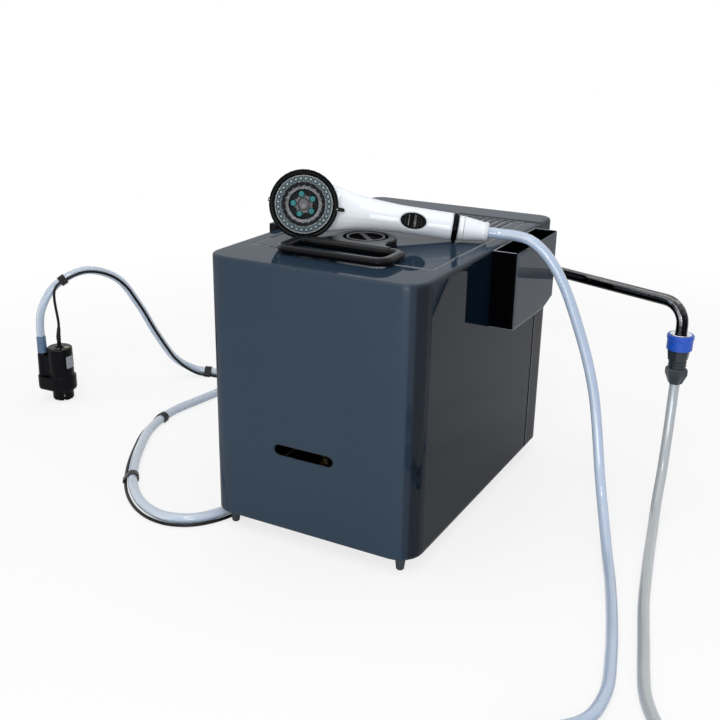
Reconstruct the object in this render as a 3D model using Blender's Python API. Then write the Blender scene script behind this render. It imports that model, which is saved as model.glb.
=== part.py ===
# Portable gas water heater with its hand shower, swivel spout, hoses and submersible pump.
# All sizes are in metres. X runs to the right, Y to the back, Z up, and the floor is at Z = 0.
import bpy
import bmesh
import math
from mathutils import Matrix
from mathutils import Vector

# Casing
CASING_WIDTH = 0.256
CASING_DEPTH = 0.396
CASING_HEIGHT = 0.300
FOOT_HEIGHT = 0.020
SHEET = 0.0015
FRONT_CORNER = 0.027
REAR_CORNER = 0.019
EDGE_ROUND = 0.003
COVER_DEPTH = 0.0504
GAP = 0.0003
SEAM = 0.0006
FOOT_TOP_R = 0.0066
FOOT_TIP_R = 0.0044
FOOT_INSET_X = 0.021
FOOT_INSET_FRONT = 0.018
FOOT_INSET_REAR = 0.062

# Top panel and its louvres
PANEL_HALF_WIDTH = 0.1090
PANEL_FRONT_MARGIN = 0.067
PANEL_LIP = 0.0055
PANEL_THICK = 0.0033
LOUVRE_COUNT = 21
LOUVRE_PITCH = 0.0094
LOUVRE_WIDTH = 0.0034
LOUVRE_LENGTH = 0.084
LOUVRE_REAR_MARGIN = 0.0075

# Front window and rear air slots
WINDOW_LENGTH = 0.073
WINDOW_HEIGHT = 0.0124
WINDOW_X = -0.0036
WINDOW_Z = 0.1145
AIR_SLOT_COUNT = 9
AIR_SLOT_PITCH = 0.012
AIR_SLOT_WIDTH = 0.004
AIR_SLOT_LENGTH = 0.040
AIR_SLOT_Z = 0.250

# Carrying handle and the knob moulding behind it
HANDLE_X = 0.0015
HANDLE_BAR_WIDTH = 0.0112
HANDLE_BAR_HEIGHT = 0.0088
HANDLE_BAR_ROUND = 0.0037
HANDLE_DEPTH = 0.0450
HANDLE_REAR_Y = -0.1084
HANDLE_LIFT = 0.0015
HANDLE_FRONT_CORNER = 0.012
HANDLE_REAR_CORNER = 0.009
HANDLE_PIN_R = 0.0022
HANDLE_PIN_LENGTH = 0.012
BARREL_HALF = 0.047
HANDLE_SHOULDER = 0.0155
HANDLE_HALF_WIDTH = BARREL_HALF + HANDLE_SHOULDER
KNOB_Y = -0.0735
HUB_HEIGHT = 0.0107
HUB_RADIUS = 0.0298
HUB_HALF_WIDTH = 0.0355
HUB_RECESS_R = 0.0254
HUB_FLOOR = 0.0022
HUB_ROUND = 0.0016
KNOB_RADIUS = 0.0221
KNOB_HEIGHT = 0.0078
KNOB_RIM = 0.0034
KNOB_WELL = 0.0046
KNOB_BAR = 0.0056
KNOB_BAR_ANGLE = -46.0
SPINDLE_R = 0.0040

# Holster on the right side and bracket on the left side
POCKET_FRONT_Y = -0.015
POCKET_LENGTH = 0.136
POCKET_OUT = 0.0290
POCKET_HEIGHT = 0.0875
POCKET_TOP_DROP = 0.001
POCKET_CHAMFER_RUN = 0.034
POCKET_CHAMFER_RISE = 0.009
POCKET_ROUND = 0.0025
SCREW_SHANK_R = 0.0018
SCREW_HEAD_R = 0.0036
SCREW_HEAD_H = 0.0018
BRACKET_Y = -0.044
BRACKET_WIDTH = 0.024
BRACKET_PLATE = 0.003
BRACKET_OUT = 0.0080
BRACKET_ABOVE = 0.006
BRACKET_HEIGHT = 0.062
BRACKET_PEG_R = 0.0035
BRACKET_PEG_Z = 0.020

# Swivel spout at the rear right corner
SPOUT_X = 0.094
SPOUT_BEHIND = 0.0233
SPOUT_R = 0.0070
SPOUT_REACH = 0.2324
SPOUT_HEIGHT = 0.247
SPOUT_BEND = 0.025
SPOUT_ANGLE = -21.0
SPOUT_TIP_Z = 0.205
OUTLET_Z = 0.190
OUTLET_R = 0.008
OUTLET_CUP_R = 0.0105
OUTLET_CUP_TOP = 0.206
SPOUT_NUT_AF = 0.024
SPOUT_NUT_H = 0.012

# Quick connector under the spout tip
COLLAR_TOP_Z = 0.2107
COLLAR_LENGTH = 0.0182
COLLAR_R = 0.0157
COLLAR_TRAVEL = 0.004
CONNECTOR_TUBE_R = 0.0104
CONNECTOR_BORE_R = 0.0075
CONNECTOR_HEX_AF = 0.0240
CONNECTOR_HEX_H = 0.0130
CONNECTOR_HEX_TURN = -10.0
CONNECTOR_NECK_R = 0.0106
CONNECTOR_NECK_H = 0.0100
CONNECTOR_NUT_R = 0.0133
CONNECTOR_NUT_TIP_R = 0.0083
CONNECTOR_NUT_H = 0.0198
CONNECTOR_NUT_TURN = 20.0

# Hand shower that lies on the top
FACE_X = -0.074
FACE_Y = -0.0805
FACE_ABOVE_TOP = 0.0391
BAND_X = 0.0757
BAND_Y = 0.0
BAND_ABOVE_TOP = 0.0161
VIEW_SIDE = Vector((0.513, -0.836, 0.191))
RING_R = 0.0388
RING_THICK = 0.0062
RING_BORE = 0.0326
NOZZLE_RING_BORE = 0.0249
STAR_TIP_R = 0.0158
STAR_ROOT_R = 0.0102
LEVER_REACH = 0.0462
LEVER_WIDTH = 0.0042
HEAD_DEPTH = 0.022
HANDLE_BEHIND_FACE = 0.014
SHOWER_HANDLE_R = 0.0153
SHOWER_BAND_R = 0.0157
SHOWER_BAND_W = 0.0058
HOSE_NUT_R = 0.0137
HOSE_NUT_TIP_R = 0.0102
HOSE_NUT_LENGTH = 0.034
BUTTON_STATION = 0.1250
BUTTON_HALF_LENGTH = 0.0143
BUTTON_HALF_WIDTH = 0.0087
BUTTON_DEPTH = 0.0062
BUTTON_TRAVEL = 0.0022
BUTTON_STEM_R = 0.004

# Hoses and cable
HOSE_R = 0.006
CABLE_R = 0.002
HOSE_REST = 0.0062
CABLE_REST = 0.0022
HOSE_STEP = 0.024
HOSE_BEND = 0.049
CABLE_STEP = 0.018
COIL_X = 0.373
COIL_Y = -0.430
COIL_OUTER_R = 0.072
COIL_PITCH = 0.0128
COIL_TURNS = 2.5
COIL_LAYER = 0.0125
COIL_END = 0.0125
COIL_POINTS_PER_TURN = 24

# Pump that stands on the floor
PUMP_X = -0.553
PUMP_Y = 0.003
PUMP_TURN = 28.2
STRAINER_R = 0.0153
STRAINER_WALL = 0.002
STRAINER_H = 0.0142
STRAINER_SLOTS = 8
BASE_R = 0.021
BASE_H = 0.0215
VOLUTE_R = 0.0105
OUTLET_OFFSET = 0.0260
COLUMN_R = 0.0074
COLUMN_TOP = 0.072
BODY_R = 0.0183
BODY_WALL = 0.002
BODY_TOP = 0.081
IMPELLER_R = 0.0140
SHAFT_R = 0.0015
SLEEVE_R = 0.0070
SLEEVE_H = 0.025
BOOT_H = 0.010
CLIP_WIDTH = 0.010
CLIP_WALL = 0.0012
CLIP_PLAY = 0.0006
CABLE_BESIDE = 0.0089

# Services at the rear
WATER_IN_X = -0.060
WATER_IN_Z = 0.100
WATER_IN_BEHIND = 0.031
WATER_IN_END_Z = 0.068
WATER_IN_R = 0.0070
GAS_IN_X = 0.045
GAS_IN_Z = 0.062
DC_X = -0.015
DC_Z = 0.046
DC_PLUG_LENGTH = 0.022
DC_PLUG_R = 0.0046

# Works inside
CHAMBER_HALF_WIDTH = 0.088
CHAMBER_FRONT_Y = 0.0383
CHAMBER_REAR_Y = 0.1417
CHAMBER_SHEET = 0.0012
BURNER_TRAY_Z = 0.056
BURNER_TRAY_H = 0.004
BURNER_BARS = 8
BURNER_BAR_WIDTH = 0.012
BURNER_BAR_H = 0.032
CHAMBER_TOP_Z = 0.200
EXCHANGER_H = 0.038
EXCHANGER_FINS = 15
EXCHANGER_FIN = 0.002
VALVE_R = 0.016
VALVE_HEIGHT = 0.044
WATER_VALVE_X = -0.095
WATER_VALVE_Y = 0.005
WATER_VALVE_R = 0.020
WATER_VALVE_H = 0.038
PIPE_R = 0.004
GAS_PIPE_R = 0.0035
SIDE_LANE = 0.107

# Places worked out from the sizes above
HALF_W = CASING_WIDTH / 2
FRONT_Y = -CASING_DEPTH / 2
REAR_Y = CASING_DEPTH / 2
TOP_Z = FOOT_HEIGHT + CASING_HEIGHT
SEAM_Y = REAR_Y - COVER_DEPTH
SHELL_REAR_Y = SEAM_Y - SEAM
PANEL_REAR_Y = SEAM_Y - 0.001
PANEL_FRONT_Y = FRONT_Y + PANEL_FRONT_MARGIN
INNER_FLOOR = FOOT_HEIGHT + 2 * GAP + SHEET
HANDLE_Z = TOP_Z + HANDLE_LIFT + HANDLE_BAR_HEIGHT / 2
SPOUT_Y = REAR_Y + SPOUT_BEHIND
COLLAR_BOTTOM_Z = COLLAR_TOP_Z - COLLAR_LENGTH
HEX_TOP_Z = COLLAR_BOTTOM_Z - GAP
HEX_BOTTOM_Z = HEX_TOP_Z - CONNECTOR_HEX_H
NUT_TOP_Z = HEX_BOTTOM_Z - CONNECTOR_NECK_H
NUT_BOTTOM_Z = NUT_TOP_Z - CONNECTOR_NUT_H


def clear_scene():
    for item in list(bpy.data.objects):
        bpy.data.objects.remove(item, do_unlink=True)


def finish(name, colour, roughness, metallic=0.0):
    """A Principled material for one piece."""
    material = bpy.data.materials.new(name)
    material.use_nodes = True
    shader = material.node_tree.nodes["Principled BSDF"]
    shader.inputs["Base Color"].default_value = (*colour, 1.0)
    shader.inputs["Roughness"].default_value = roughness
    shader.inputs["Metallic"].default_value = metallic
    material.diffuse_color = (*colour, 1.0)
    return material


SLATE = (0.035, 0.046, 0.062)
BLACK = (0.012, 0.012, 0.013)
WHITE = (0.80, 0.81, 0.83)
CHROME = (0.62, 0.63, 0.65)
STEEL = (0.45, 0.46, 0.48)
BRASS = (0.55, 0.38, 0.14)
COPPER = (0.60, 0.28, 0.16)
TEAL = (0.20, 0.42, 0.46)
HOSE_TINT = (0.62, 0.72, 0.84)
BLUE = (0.02, 0.10, 0.62)
GREY = (0.10, 0.12, 0.14)
SLEEVE_BLUE = (0.12, 0.20, 0.32)


def empty(name, parent=None, place=(0, 0, 0), turn=None):
    item = bpy.data.objects.new(name, None)
    item.empty_display_size = 0.02
    bpy.context.collection.objects.link(item)
    item.parent = parent
    item.location = place
    if turn is not None:
        item.rotation_euler = turn.to_euler()
    return item


def add_mesh(name, bm, material, parent, place=(0, 0, 0), turn=None, smooth=True):
    """Turn a bmesh into an object whose own origin is at place under its parent."""
    bmesh.ops.recalc_face_normals(bm, faces=bm.faces[:])
    mesh = bpy.data.meshes.new(name)
    bm.to_mesh(mesh)
    bm.free()
    if smooth:
        mesh.shade_smooth()
        mesh.set_sharp_from_angle(angle=math.radians(32))
    item = bpy.data.objects.new(name, mesh)
    bpy.context.collection.objects.link(item)
    item.parent = parent
    item.location = place
    if turn is not None:
        item.rotation_euler = turn.to_euler()
    if material is not None:
        mesh.materials.append(material)
    return item


def combine(target, tool, operation):
    """Join or cut one solid with another, which is hidden."""
    modifier = target.modifiers.new(operation.title() + " " + tool.name, "BOOLEAN")
    modifier.operation = operation
    modifier.solver = "EXACT"
    modifier.object = tool
    tool.hide_render = True
    tool.display_type = "WIRE"
    tool.hide_set(True)
    return target


def arc(cx, cy, radius, start, end, steps):
    """Points on an arc, in degrees, both ends included."""
    points = []
    for i in range(steps + 1):
        a = math.radians(start + (end - start) * i / steps)
        points.append((cx + radius * math.cos(a), cy + radius * math.sin(a)))
    return points


def circle(cx, cy, radius, steps):
    return arc(cx, cy, radius, 0, 360 - 360 / steps, steps - 1)


def rounded_box(x0, x1, y0, y1, front, rear, steps):
    """A rectangle in plan with its own radius for the front and the rear corners."""
    points = arc(x0 + front, y0 + front, front, 180, 270, steps)
    points += arc(x1 - front, y0 + front, front, 270, 360, steps)
    if rear > 0:
        points += arc(x1 - rear, y1 - rear, rear, 0, 90, steps)
        points += arc(x0 + rear, y1 - rear, rear, 90, 180, steps)
    else:
        points += [(x1, y1), (x0, y1)]
    return points


def axes_point(u, v, w, along):
    if along == "Z":
        return (u, v, w)
    if along == "Y":
        return (u, w, v)
    return (w, u, v)


def add_prism(bm, outline, low, high, along="Z"):
    """Extrude a closed outline along an axis; outlines are in the other two axes, in order."""
    ring = [bm.verts.new(axes_point(u, v, low, along)) for u, v in outline]
    base = bm.faces.new(ring)
    result = bmesh.ops.extrude_face_region(bm, geom=[base])
    moved = [g for g in result["geom"] if isinstance(g, bmesh.types.BMVert)]
    shift = Vector(axes_point(0, 0, high - low, along))
    bmesh.ops.translate(bm, verts=moved, vec=shift)
    return moved


def prism(outline, low, high, along="Z"):
    bm = bmesh.new()
    add_prism(bm, outline, low, high, along)
    return bm


def box(x0, x1, y0, y1, z0, z1):
    return prism([(x0, y0), (x1, y0), (x1, y1), (x0, y1)], z0, z1)


def add_lathe(bm, profile, steps, place=(0, 0, 0), along="Z", phase=0.0):
    """Turn a profile of (radius, height) points; radius 0 makes a pole, else the profile closes."""
    centre = Vector(place)
    rings = []
    for radius, height in profile:
        if radius < 1e-7:
            rings.append([bm.verts.new(centre + Vector(axes_point(0, 0, height, along)))])
            continue
        ring = []
        for i in range(steps):
            a = 2 * math.pi * i / steps + phase
            at = axes_point(radius * math.cos(a), radius * math.sin(a), height, along)
            ring.append(bm.verts.new(centre + Vector(at)))
        rings.append(ring)
    pairs = list(zip(rings, rings[1:]))
    if len(rings[0]) > 1 and len(rings[-1]) > 1:
        pairs.append((rings[-1], rings[0]))
    for a, b in pairs:
        for i in range(steps):
            j = (i + 1) % steps
            corners = [a[i % len(a)], a[j % len(a)], b[j % len(b)], b[i % len(b)]]
            face = list(dict.fromkeys(corners))
            if len(face) > 2:
                bm.faces.new(face)


def lathe(profile, steps, place=(0, 0, 0), along="Z", phase=0.0):
    bm = bmesh.new()
    add_lathe(bm, profile, steps, place, along, phase)
    return bm


def rod(radius, low, high, steps, place=(0, 0, 0), along="Z", phase=0.0):
    return lathe([(0, low), (radius, low), (radius, high), (0, high)], steps, place, along, phase)


def add_loft(bm, rings):
    """Skin closed rings of equal length and cap both ends."""
    levels = [[bm.verts.new(p) for p in ring] for ring in rings]
    count = len(levels[0])
    for a, b in zip(levels, levels[1:]):
        for i in range(count):
            j = (i + 1) % count
            bm.faces.new((a[i], a[j], b[j], b[i]))
    bm.faces.new(levels[0][::-1])
    bm.faces.new(levels[-1])


def round_edges(bm, choose, radius, steps):
    """Round the edges whose two ends both pass the test."""
    edges = [e for e in bm.edges if choose(e.verts[0].co) and choose(e.verts[1].co)]
    bmesh.ops.bevel(
        bm, geom=edges, offset=radius, segments=steps, profile=0.5, affect="EDGES", clamp_overlap=True
    )


def filleted(points, radius, steps):
    """A polyline whose inner corners are replaced by arcs."""
    corners = [Vector(p) for p in points]
    path = [corners[0]]
    for before, corner, after in zip(corners, corners[1:], corners[2:]):
        u = (before - corner).normalized()
        v = (after - corner).normalized()
        half = u.angle(v) / 2
        reach = radius / math.tan(half)
        centre = corner + (u + v).normalized() * (radius / math.sin(half))
        start = corner + u * reach - centre
        turn = Matrix.Rotation((math.pi - 2 * half) / steps, 3, u.cross(v) * -1)
        arm = start
        for _ in range(steps + 1):
            path.append(centre + arm)
            arm = turn @ arm
    path.append(corners[-1])
    return path


def smooth_route(points, step, closed_ends=0.012):
    """A smooth curve through chosen points, read again at even steps."""
    knots = [Vector(p) for p in points]
    first = knots[0] - (knots[1] - knots[0])
    last = knots[-1] + (knots[-1] - knots[-2])
    knots = [first] + knots + [last]
    fine = []
    for i in range(1, len(knots) - 2):
        p0, p1, p2, p3 = knots[i - 1:i + 3]
        t0 = 0.0
        t1 = t0 + (p1 - p0).length ** 0.5
        t2 = t1 + (p2 - p1).length ** 0.5
        t3 = t2 + (p3 - p2).length ** 0.5
        for k in range(24):
            t = t1 + (t2 - t1) * k / 24
            a1 = p0 * ((t1 - t) / (t1 - t0)) + p1 * ((t - t0) / (t1 - t0))
            a2 = p1 * ((t2 - t) / (t2 - t1)) + p2 * ((t - t1) / (t2 - t1))
            a3 = p2 * ((t3 - t) / (t3 - t2)) + p3 * ((t - t2) / (t3 - t2))
            b1 = a1 * ((t2 - t) / (t2 - t0)) + a2 * ((t - t0) / (t2 - t0))
            b2 = a2 * ((t3 - t) / (t3 - t1)) + a3 * ((t - t1) / (t3 - t1))
            fine.append(b1 * ((t2 - t) / (t2 - t1)) + b2 * ((t - t1) / (t2 - t1)))
    fine.append(knots[-2])
    lowest = min(knot.z for knot in knots[1:-1])
    for at in fine:
        at.z = max(at.z, lowest)
    lengths = [0.0]
    for a, b in zip(fine, fine[1:]):
        lengths.append(lengths[-1] + (b - a).length)
    total = lengths[-1]
    count = max(4, round((total - 2 * closed_ends) / step))
    stations = [0.0]
    stations += [closed_ends + (total - 2 * closed_ends) * i / count for i in range(count + 1)]
    stations.append(total)
    route = []
    k = 0
    for s in stations:
        while k < len(fine) - 2 and lengths[k + 1] < s:
            k += 1
        share = (s - lengths[k]) / (lengths[k + 1] - lengths[k])
        route.append(fine[k].lerp(fine[k + 1], min(1.0, share)))
    return route


def length_of(path):
    return sum((b - a).length for a, b in zip(path, path[1:]))


def add_tube(name, path, radius, material, parent, sides=2):
    """A round tube along a path, with flat ends."""
    curve = bpy.data.curves.new(name, "CURVE")
    curve.dimensions = "3D"
    curve.bevel_depth = radius
    curve.bevel_resolution = sides
    curve.use_fill_caps = True
    spline = curve.splines.new("POLY")
    spline.points.add(len(path) - 1)
    for point, at in zip(spline.points, path):
        point.co = (*at, 1.0)
    curve.materials.append(material)
    item = bpy.data.objects.new(name, curve)
    bpy.context.collection.objects.link(item)
    item.parent = parent
    return item


# ---- the casing


def make_front_shell(root):
    bm = prism(rounded_box(-HALF_W, HALF_W, FRONT_Y, SHELL_REAR_Y, FRONT_CORNER, 0, 6), FOOT_HEIGHT, TOP_Z)
    round_edges(
        bm, lambda p: p.z > TOP_Z - 1e-6 and not (p.y > SHELL_REAR_Y - 1e-6 and abs(p.x) < HALF_W - 1e-6),
        EDGE_ROUND, 2
    )
    shell = add_mesh("front_shell", bm, finish("shell_paint", SLATE, 0.22), root)
    inner = FRONT_CORNER - SHEET
    outline = rounded_box(
        -HALF_W + SHEET, HALF_W - SHEET, FRONT_Y + SHEET, SHELL_REAR_Y + 0.01, inner, 0, 6
    )
    room = add_mesh("shell_room", prism(outline, FOOT_HEIGHT - 0.01, TOP_Z - SHEET), None, root)
    combine(shell, room, "DIFFERENCE")
    opening = box(
        -PANEL_HALF_WIDTH, PANEL_HALF_WIDTH, PANEL_FRONT_Y, SHELL_REAR_Y + 0.01,
        TOP_Z - SHEET - 0.002, TOP_Z + 0.01
    )
    half = (WINDOW_LENGTH - WINDOW_HEIGHT) / 2
    window = arc(WINDOW_X + half, WINDOW_Z, WINDOW_HEIGHT / 2, -90, 90, 6)
    window += arc(WINDOW_X - half, WINDOW_Z, WINDOW_HEIGHT / 2, 90, 270, 6)
    add_prism(opening, window, FRONT_Y - 0.01, FRONT_Y + 0.01, "Y")
    for y, z in pocket_screw_places():
        add_lathe(opening, [(0, 0.12), (0.0022, 0.12), (0.0022, 0.14), (0, 0.14)], 8, (0, y, z), "X")
    peg = TOP_Z + BRACKET_ABOVE - BRACKET_HEIGHT + BRACKET_PEG_Z
    side = BRACKET_PEG_R + GAP
    profile = [(0, -HALF_W - 0.01), (side, -HALF_W - 0.01), (side, -HALF_W + 0.01), (0, -HALF_W + 0.01)]
    add_lathe(opening, profile, 10, (0, BRACKET_Y, peg), "X")
    combine(shell, add_mesh("shell_openings", opening, None, root), "DIFFERENCE")


def louvre_places():
    first = -(LOUVRE_COUNT - 1) / 2 * LOUVRE_PITCH
    return [first + i * LOUVRE_PITCH for i in range(LOUVRE_COUNT)]


def make_top_plate(root):
    low = TOP_Z - PANEL_THICK
    reach = PANEL_HALF_WIDTH - 0.0004
    wide = reach + PANEL_LIP
    front = PANEL_FRONT_Y + 0.0004
    bm = box(-wide, wide, front - PANEL_LIP, PANEL_REAR_Y, low, TOP_Z - SHEET - GAP)
    plate = add_mesh("top_plate", bm, finish("top_paint", SLATE, 0.20), root)
    raised = box(-reach, reach, front, PANEL_REAR_Y - 0.0001, low + 0.0004, TOP_Z)
    combine(plate, add_mesh("panel_step", raised, None, root), "UNION")
    cuts = bmesh.new()
    rear = PANEL_REAR_Y - LOUVRE_REAR_MARGIN
    for x in louvre_places():
        half = LOUVRE_WIDTH / 2
        ends = (rear - LOUVRE_LENGTH, rear)
        outline = [(x - half, ends[0] + half), (x, ends[0]), (x + half, ends[0] + half)]
        outline += [(x + half, ends[1] - half), (x, ends[1]), (x - half, ends[1] - half)]
        add_prism(cuts, outline, low - 0.005, TOP_Z + 0.005)
    bore = [(0, -0.02), (SPINDLE_R + 0.0006, -0.02), (SPINDLE_R + 0.0006, 0.02), (0, 0.02)]
    add_lathe(cuts, bore, 12, (HANDLE_X, KNOB_Y, TOP_Z))
    combine(plate, add_mesh("panel_cuts", cuts, None, root), "DIFFERENCE")


def make_rear_cover(root):
    outline = [(-HALF_W, SEAM_Y), (HALF_W, SEAM_Y)]
    outline += arc(HALF_W - REAR_CORNER, REAR_Y - REAR_CORNER, REAR_CORNER, 0, 90, 5)
    outline += arc(-HALF_W + REAR_CORNER, REAR_Y - REAR_CORNER, REAR_CORNER, 90, 180, 5)
    bm = prism(outline, FOOT_HEIGHT, TOP_Z)
    round_edges(
        bm, lambda p: p.z > TOP_Z - 1e-6 and not (p.y < SEAM_Y + 1e-6 and abs(p.x) < HALF_W - 1e-6),
        EDGE_ROUND, 2
    )
    cover = add_mesh("rear_cover", bm, finish("cover_paint", SLATE, 0.22), root)
    inner = REAR_CORNER - SHEET
    half = HALF_W - SHEET
    outline = [(-half, SEAM_Y - 0.01), (half, SEAM_Y - 0.01)]
    outline += arc(half - inner, REAR_Y - SHEET - inner, inner, 0, 90, 5)
    outline += arc(-half + inner, REAR_Y - SHEET - inner, inner, 90, 180, 5)
    room = prism(outline, FOOT_HEIGHT + SHEET, TOP_Z - SHEET)
    combine(cover, add_mesh("cover_room", room, None, root), "DIFFERENCE")
    cuts = bmesh.new()
    for x, z, radius in (
        (SPOUT_X, OUTLET_Z, OUTLET_R + 0.0004),
        (WATER_IN_X, WATER_IN_Z, WATER_IN_R + 0.0004),
        (GAS_IN_X, GAS_IN_Z, 0.0054),
        (DC_X, DC_Z, 0.0054),
    ):
        profile = [(0, REAR_Y - 0.01), (radius, REAR_Y - 0.01), (radius, REAR_Y + 0.01), (0, REAR_Y + 0.01)]
        add_lathe(cuts, profile, 16, (x, 0, z), "Y")
    for i in range(AIR_SLOT_COUNT):
        x = (i - (AIR_SLOT_COUNT - 1) / 2) * AIR_SLOT_PITCH
        half = AIR_SLOT_WIDTH / 2
        ends = (AIR_SLOT_Z - AIR_SLOT_LENGTH / 2, AIR_SLOT_Z + AIR_SLOT_LENGTH / 2)
        outline = [(x - half, ends[0] + half), (x, ends[0]), (x + half, ends[0] + half)]
        outline += [(x + half, ends[1] - half), (x, ends[1]), (x - half, ends[1] - half)]
        add_prism(cuts, outline, REAR_Y - 0.01, REAR_Y + 0.01, "Y")
    for x, z in cover_screw_places():
        profile = [(0, REAR_Y - 0.01), (0.0022, REAR_Y - 0.01), (0.0022, REAR_Y + 0.01), (0, REAR_Y + 0.01)]
        add_lathe(cuts, profile, 8, (x, 0, z), "Y")
    combine(cover, add_mesh("cover_cuts", cuts, None, root), "DIFFERENCE")


def make_base_plate(root):
    side = HALF_W - SHEET - 0.0004
    front = FRONT_Y + SHEET + 0.0004
    corner = FRONT_CORNER - SHEET - 0.0004
    low = FOOT_HEIGHT + GAP
    outline = rounded_box(-side, side, front, PANEL_REAR_Y, corner, 0, 6)
    plate = add_mesh("base_plate", prism(outline, low, low + SHEET), finish("base_steel", STEEL, 0.4, 0.8), root)
    cuts = bmesh.new()
    for i in range(7):
        x = (i - 3) * 0.024
        add_prism(
            cuts, [(x - 0.003, 0.075), (x + 0.003, 0.075), (x + 0.003, 0.125), (x - 0.003, 0.125)],
            low - 0.01, low + 0.01
        )
    combine(plate, add_mesh("base_cuts", cuts, None, root), "DIFFERENCE")


def foot_places():
    x = HALF_W - FOOT_INSET_X
    front = FRONT_Y + FOOT_INSET_FRONT
    rear = REAR_Y - FOOT_INSET_REAR
    return [(-x, front), (x, front), (-x, rear), (x, rear)]


def make_feet(root):
    profile = [(0, 0), (FOOT_TIP_R - 0.0012, 0), (FOOT_TIP_R, 0.0012)]
    profile += [(FOOT_TOP_R, FOOT_HEIGHT), (0, FOOT_HEIGHT)]
    rubber = finish("foot_rubber", GREY, 0.55)
    names = ("foot_front_left", "foot_front_right", "foot_rear_left", "foot_rear_right")
    for name, (x, y) in zip(names, foot_places()):
        add_mesh(name, lathe(profile, 14), rubber, root, (x, y, 0))


def screw_profile(length, sink=0.0):
    return [
        (0, -length), (SCREW_SHANK_R, -length), (SCREW_SHANK_R, -sink), (SCREW_HEAD_R, -sink),
        (SCREW_HEAD_R * 0.9, SCREW_HEAD_H * 0.7), (SCREW_HEAD_R * 0.5, SCREW_HEAD_H), (0, SCREW_HEAD_H)
    ]


def cover_screw_places():
    x = HALF_W - REAR_CORNER - 0.006
    return [(-x, TOP_Z - 0.014), (x, TOP_Z - 0.014)]


def make_cover_screws(root):
    steel = finish("screw_steel", STEEL, 0.35, 0.9)
    for name, (x, z) in zip(("cover_screw_left", "cover_screw_right"), cover_screw_places()):
        bm = lathe(screw_profile(0.006), 8, along="Y")
        add_mesh(name, bm, steel, root, (x, REAR_Y + GAP, z))


# ---- holster and bracket


def pocket_screw_places():
    top = TOP_Z - POCKET_TOP_DROP
    return [(POCKET_FRONT_Y + 0.024, top - 0.030), (POCKET_FRONT_Y + POCKET_LENGTH - 0.024, top - 0.030)]


def make_side_pocket(root):
    x0 = HALF_W + GAP
    x1 = x0 + POCKET_OUT
    y0 = POCKET_FRONT_Y
    y1 = y0 + POCKET_LENGTH
    z1 = TOP_Z - POCKET_TOP_DROP
    z0 = z1 - POCKET_HEIGHT
    outline = [(y0, z0), (y1 - POCKET_CHAMFER_RUN, z0), (y1, z0 + POCKET_CHAMFER_RISE), (y1, z1), (y0, z1)]
    bm = prism(outline, x0, x1, "X")
    round_edges(
        bm, lambda p: p.x > x1 - 1e-6 and (abs(p.y - y0) < 1e-6 or abs(p.y - y1) < 1e-6)
        and p.z < z1 + 1e-6, POCKET_ROUND, 2
    )
    pocket = add_mesh("side_pocket", bm, finish("pocket_paint", SLATE, 0.22), root)
    s = SHEET
    slope = POCKET_CHAMFER_RISE / POCKET_CHAMFER_RUN
    room = [
        (y0 + s, z0 + s), (y1 - POCKET_CHAMFER_RUN - s * slope, z0 + s),
        (y1 - s, z0 + s + POCKET_CHAMFER_RISE - s * slope), (y1 - s, z1 + 0.01), (y0 + s, z1 + 0.01)
    ]
    cuts = prism(room, x0 + s, x1 - s, "X")
    combine(pocket, add_mesh("pocket_room", cuts, None, root), "DIFFERENCE")
    holes = bmesh.new()
    for y, z in pocket_screw_places():
        add_lathe(holes, [(0, x0 - 0.005), (0.0022, x0 - 0.005), (0.0022, x0 + 0.005), (0, x0 + 0.005)],
                  8, (0, y, z), "X")
    combine(pocket, add_mesh("pocket_holes", holes, None, root), "DIFFERENCE")


def make_side_bracket(root):
    x0 = -(HALF_W + GAP)
    plate = x0 - BRACKET_PLATE
    out = x0 - BRACKET_OUT
    top = TOP_Z + BRACKET_ABOVE
    low = top - BRACKET_HEIGHT
    outline = [(x0, low), (plate, low), (plate, top - 0.021), (out, top - 0.012), (out, top), (x0, top)]
    bm = prism(outline, BRACKET_Y - BRACKET_WIDTH / 2, BRACKET_Y + BRACKET_WIDTH / 2, "Y")
    bracket = add_mesh("side_bracket", bm, finish("bracket_plastic", BLACK, 0.4), root)
    peg = rod(BRACKET_PEG_R, x0 - 0.001, x0 + 0.007, 10, (0, BRACKET_Y, low + BRACKET_PEG_Z), "X")
    combine(bracket, add_mesh("bracket_peg", peg, None, root), "UNION")


def make_pocket_screws(root):
    steel = finish("side_screw_steel", STEEL, 0.35, 0.9)
    seat = HALF_W + GAP + SHEET + GAP
    for name, (y, z) in zip(("pocket_screw_front", "pocket_screw_rear"), pocket_screw_places()):
        bm = lathe(screw_profile(0.006), 8, along="X")
        add_mesh(name, bm, steel, root, (seat, y, z))


# ---- handle and knob


def bar_section():
    w = HANDLE_BAR_WIDTH / 2 - HANDLE_BAR_ROUND
    h = HANDLE_BAR_HEIGHT / 2 - HANDLE_BAR_ROUND
    points = []
    for cx, cy, start in ((w, h, 0), (-w, h, 90), (-w, -h, 180), (w, -h, 270)):
        points += arc(cx, cy, HANDLE_BAR_ROUND, start, start + 90, 2)
    return points


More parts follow.
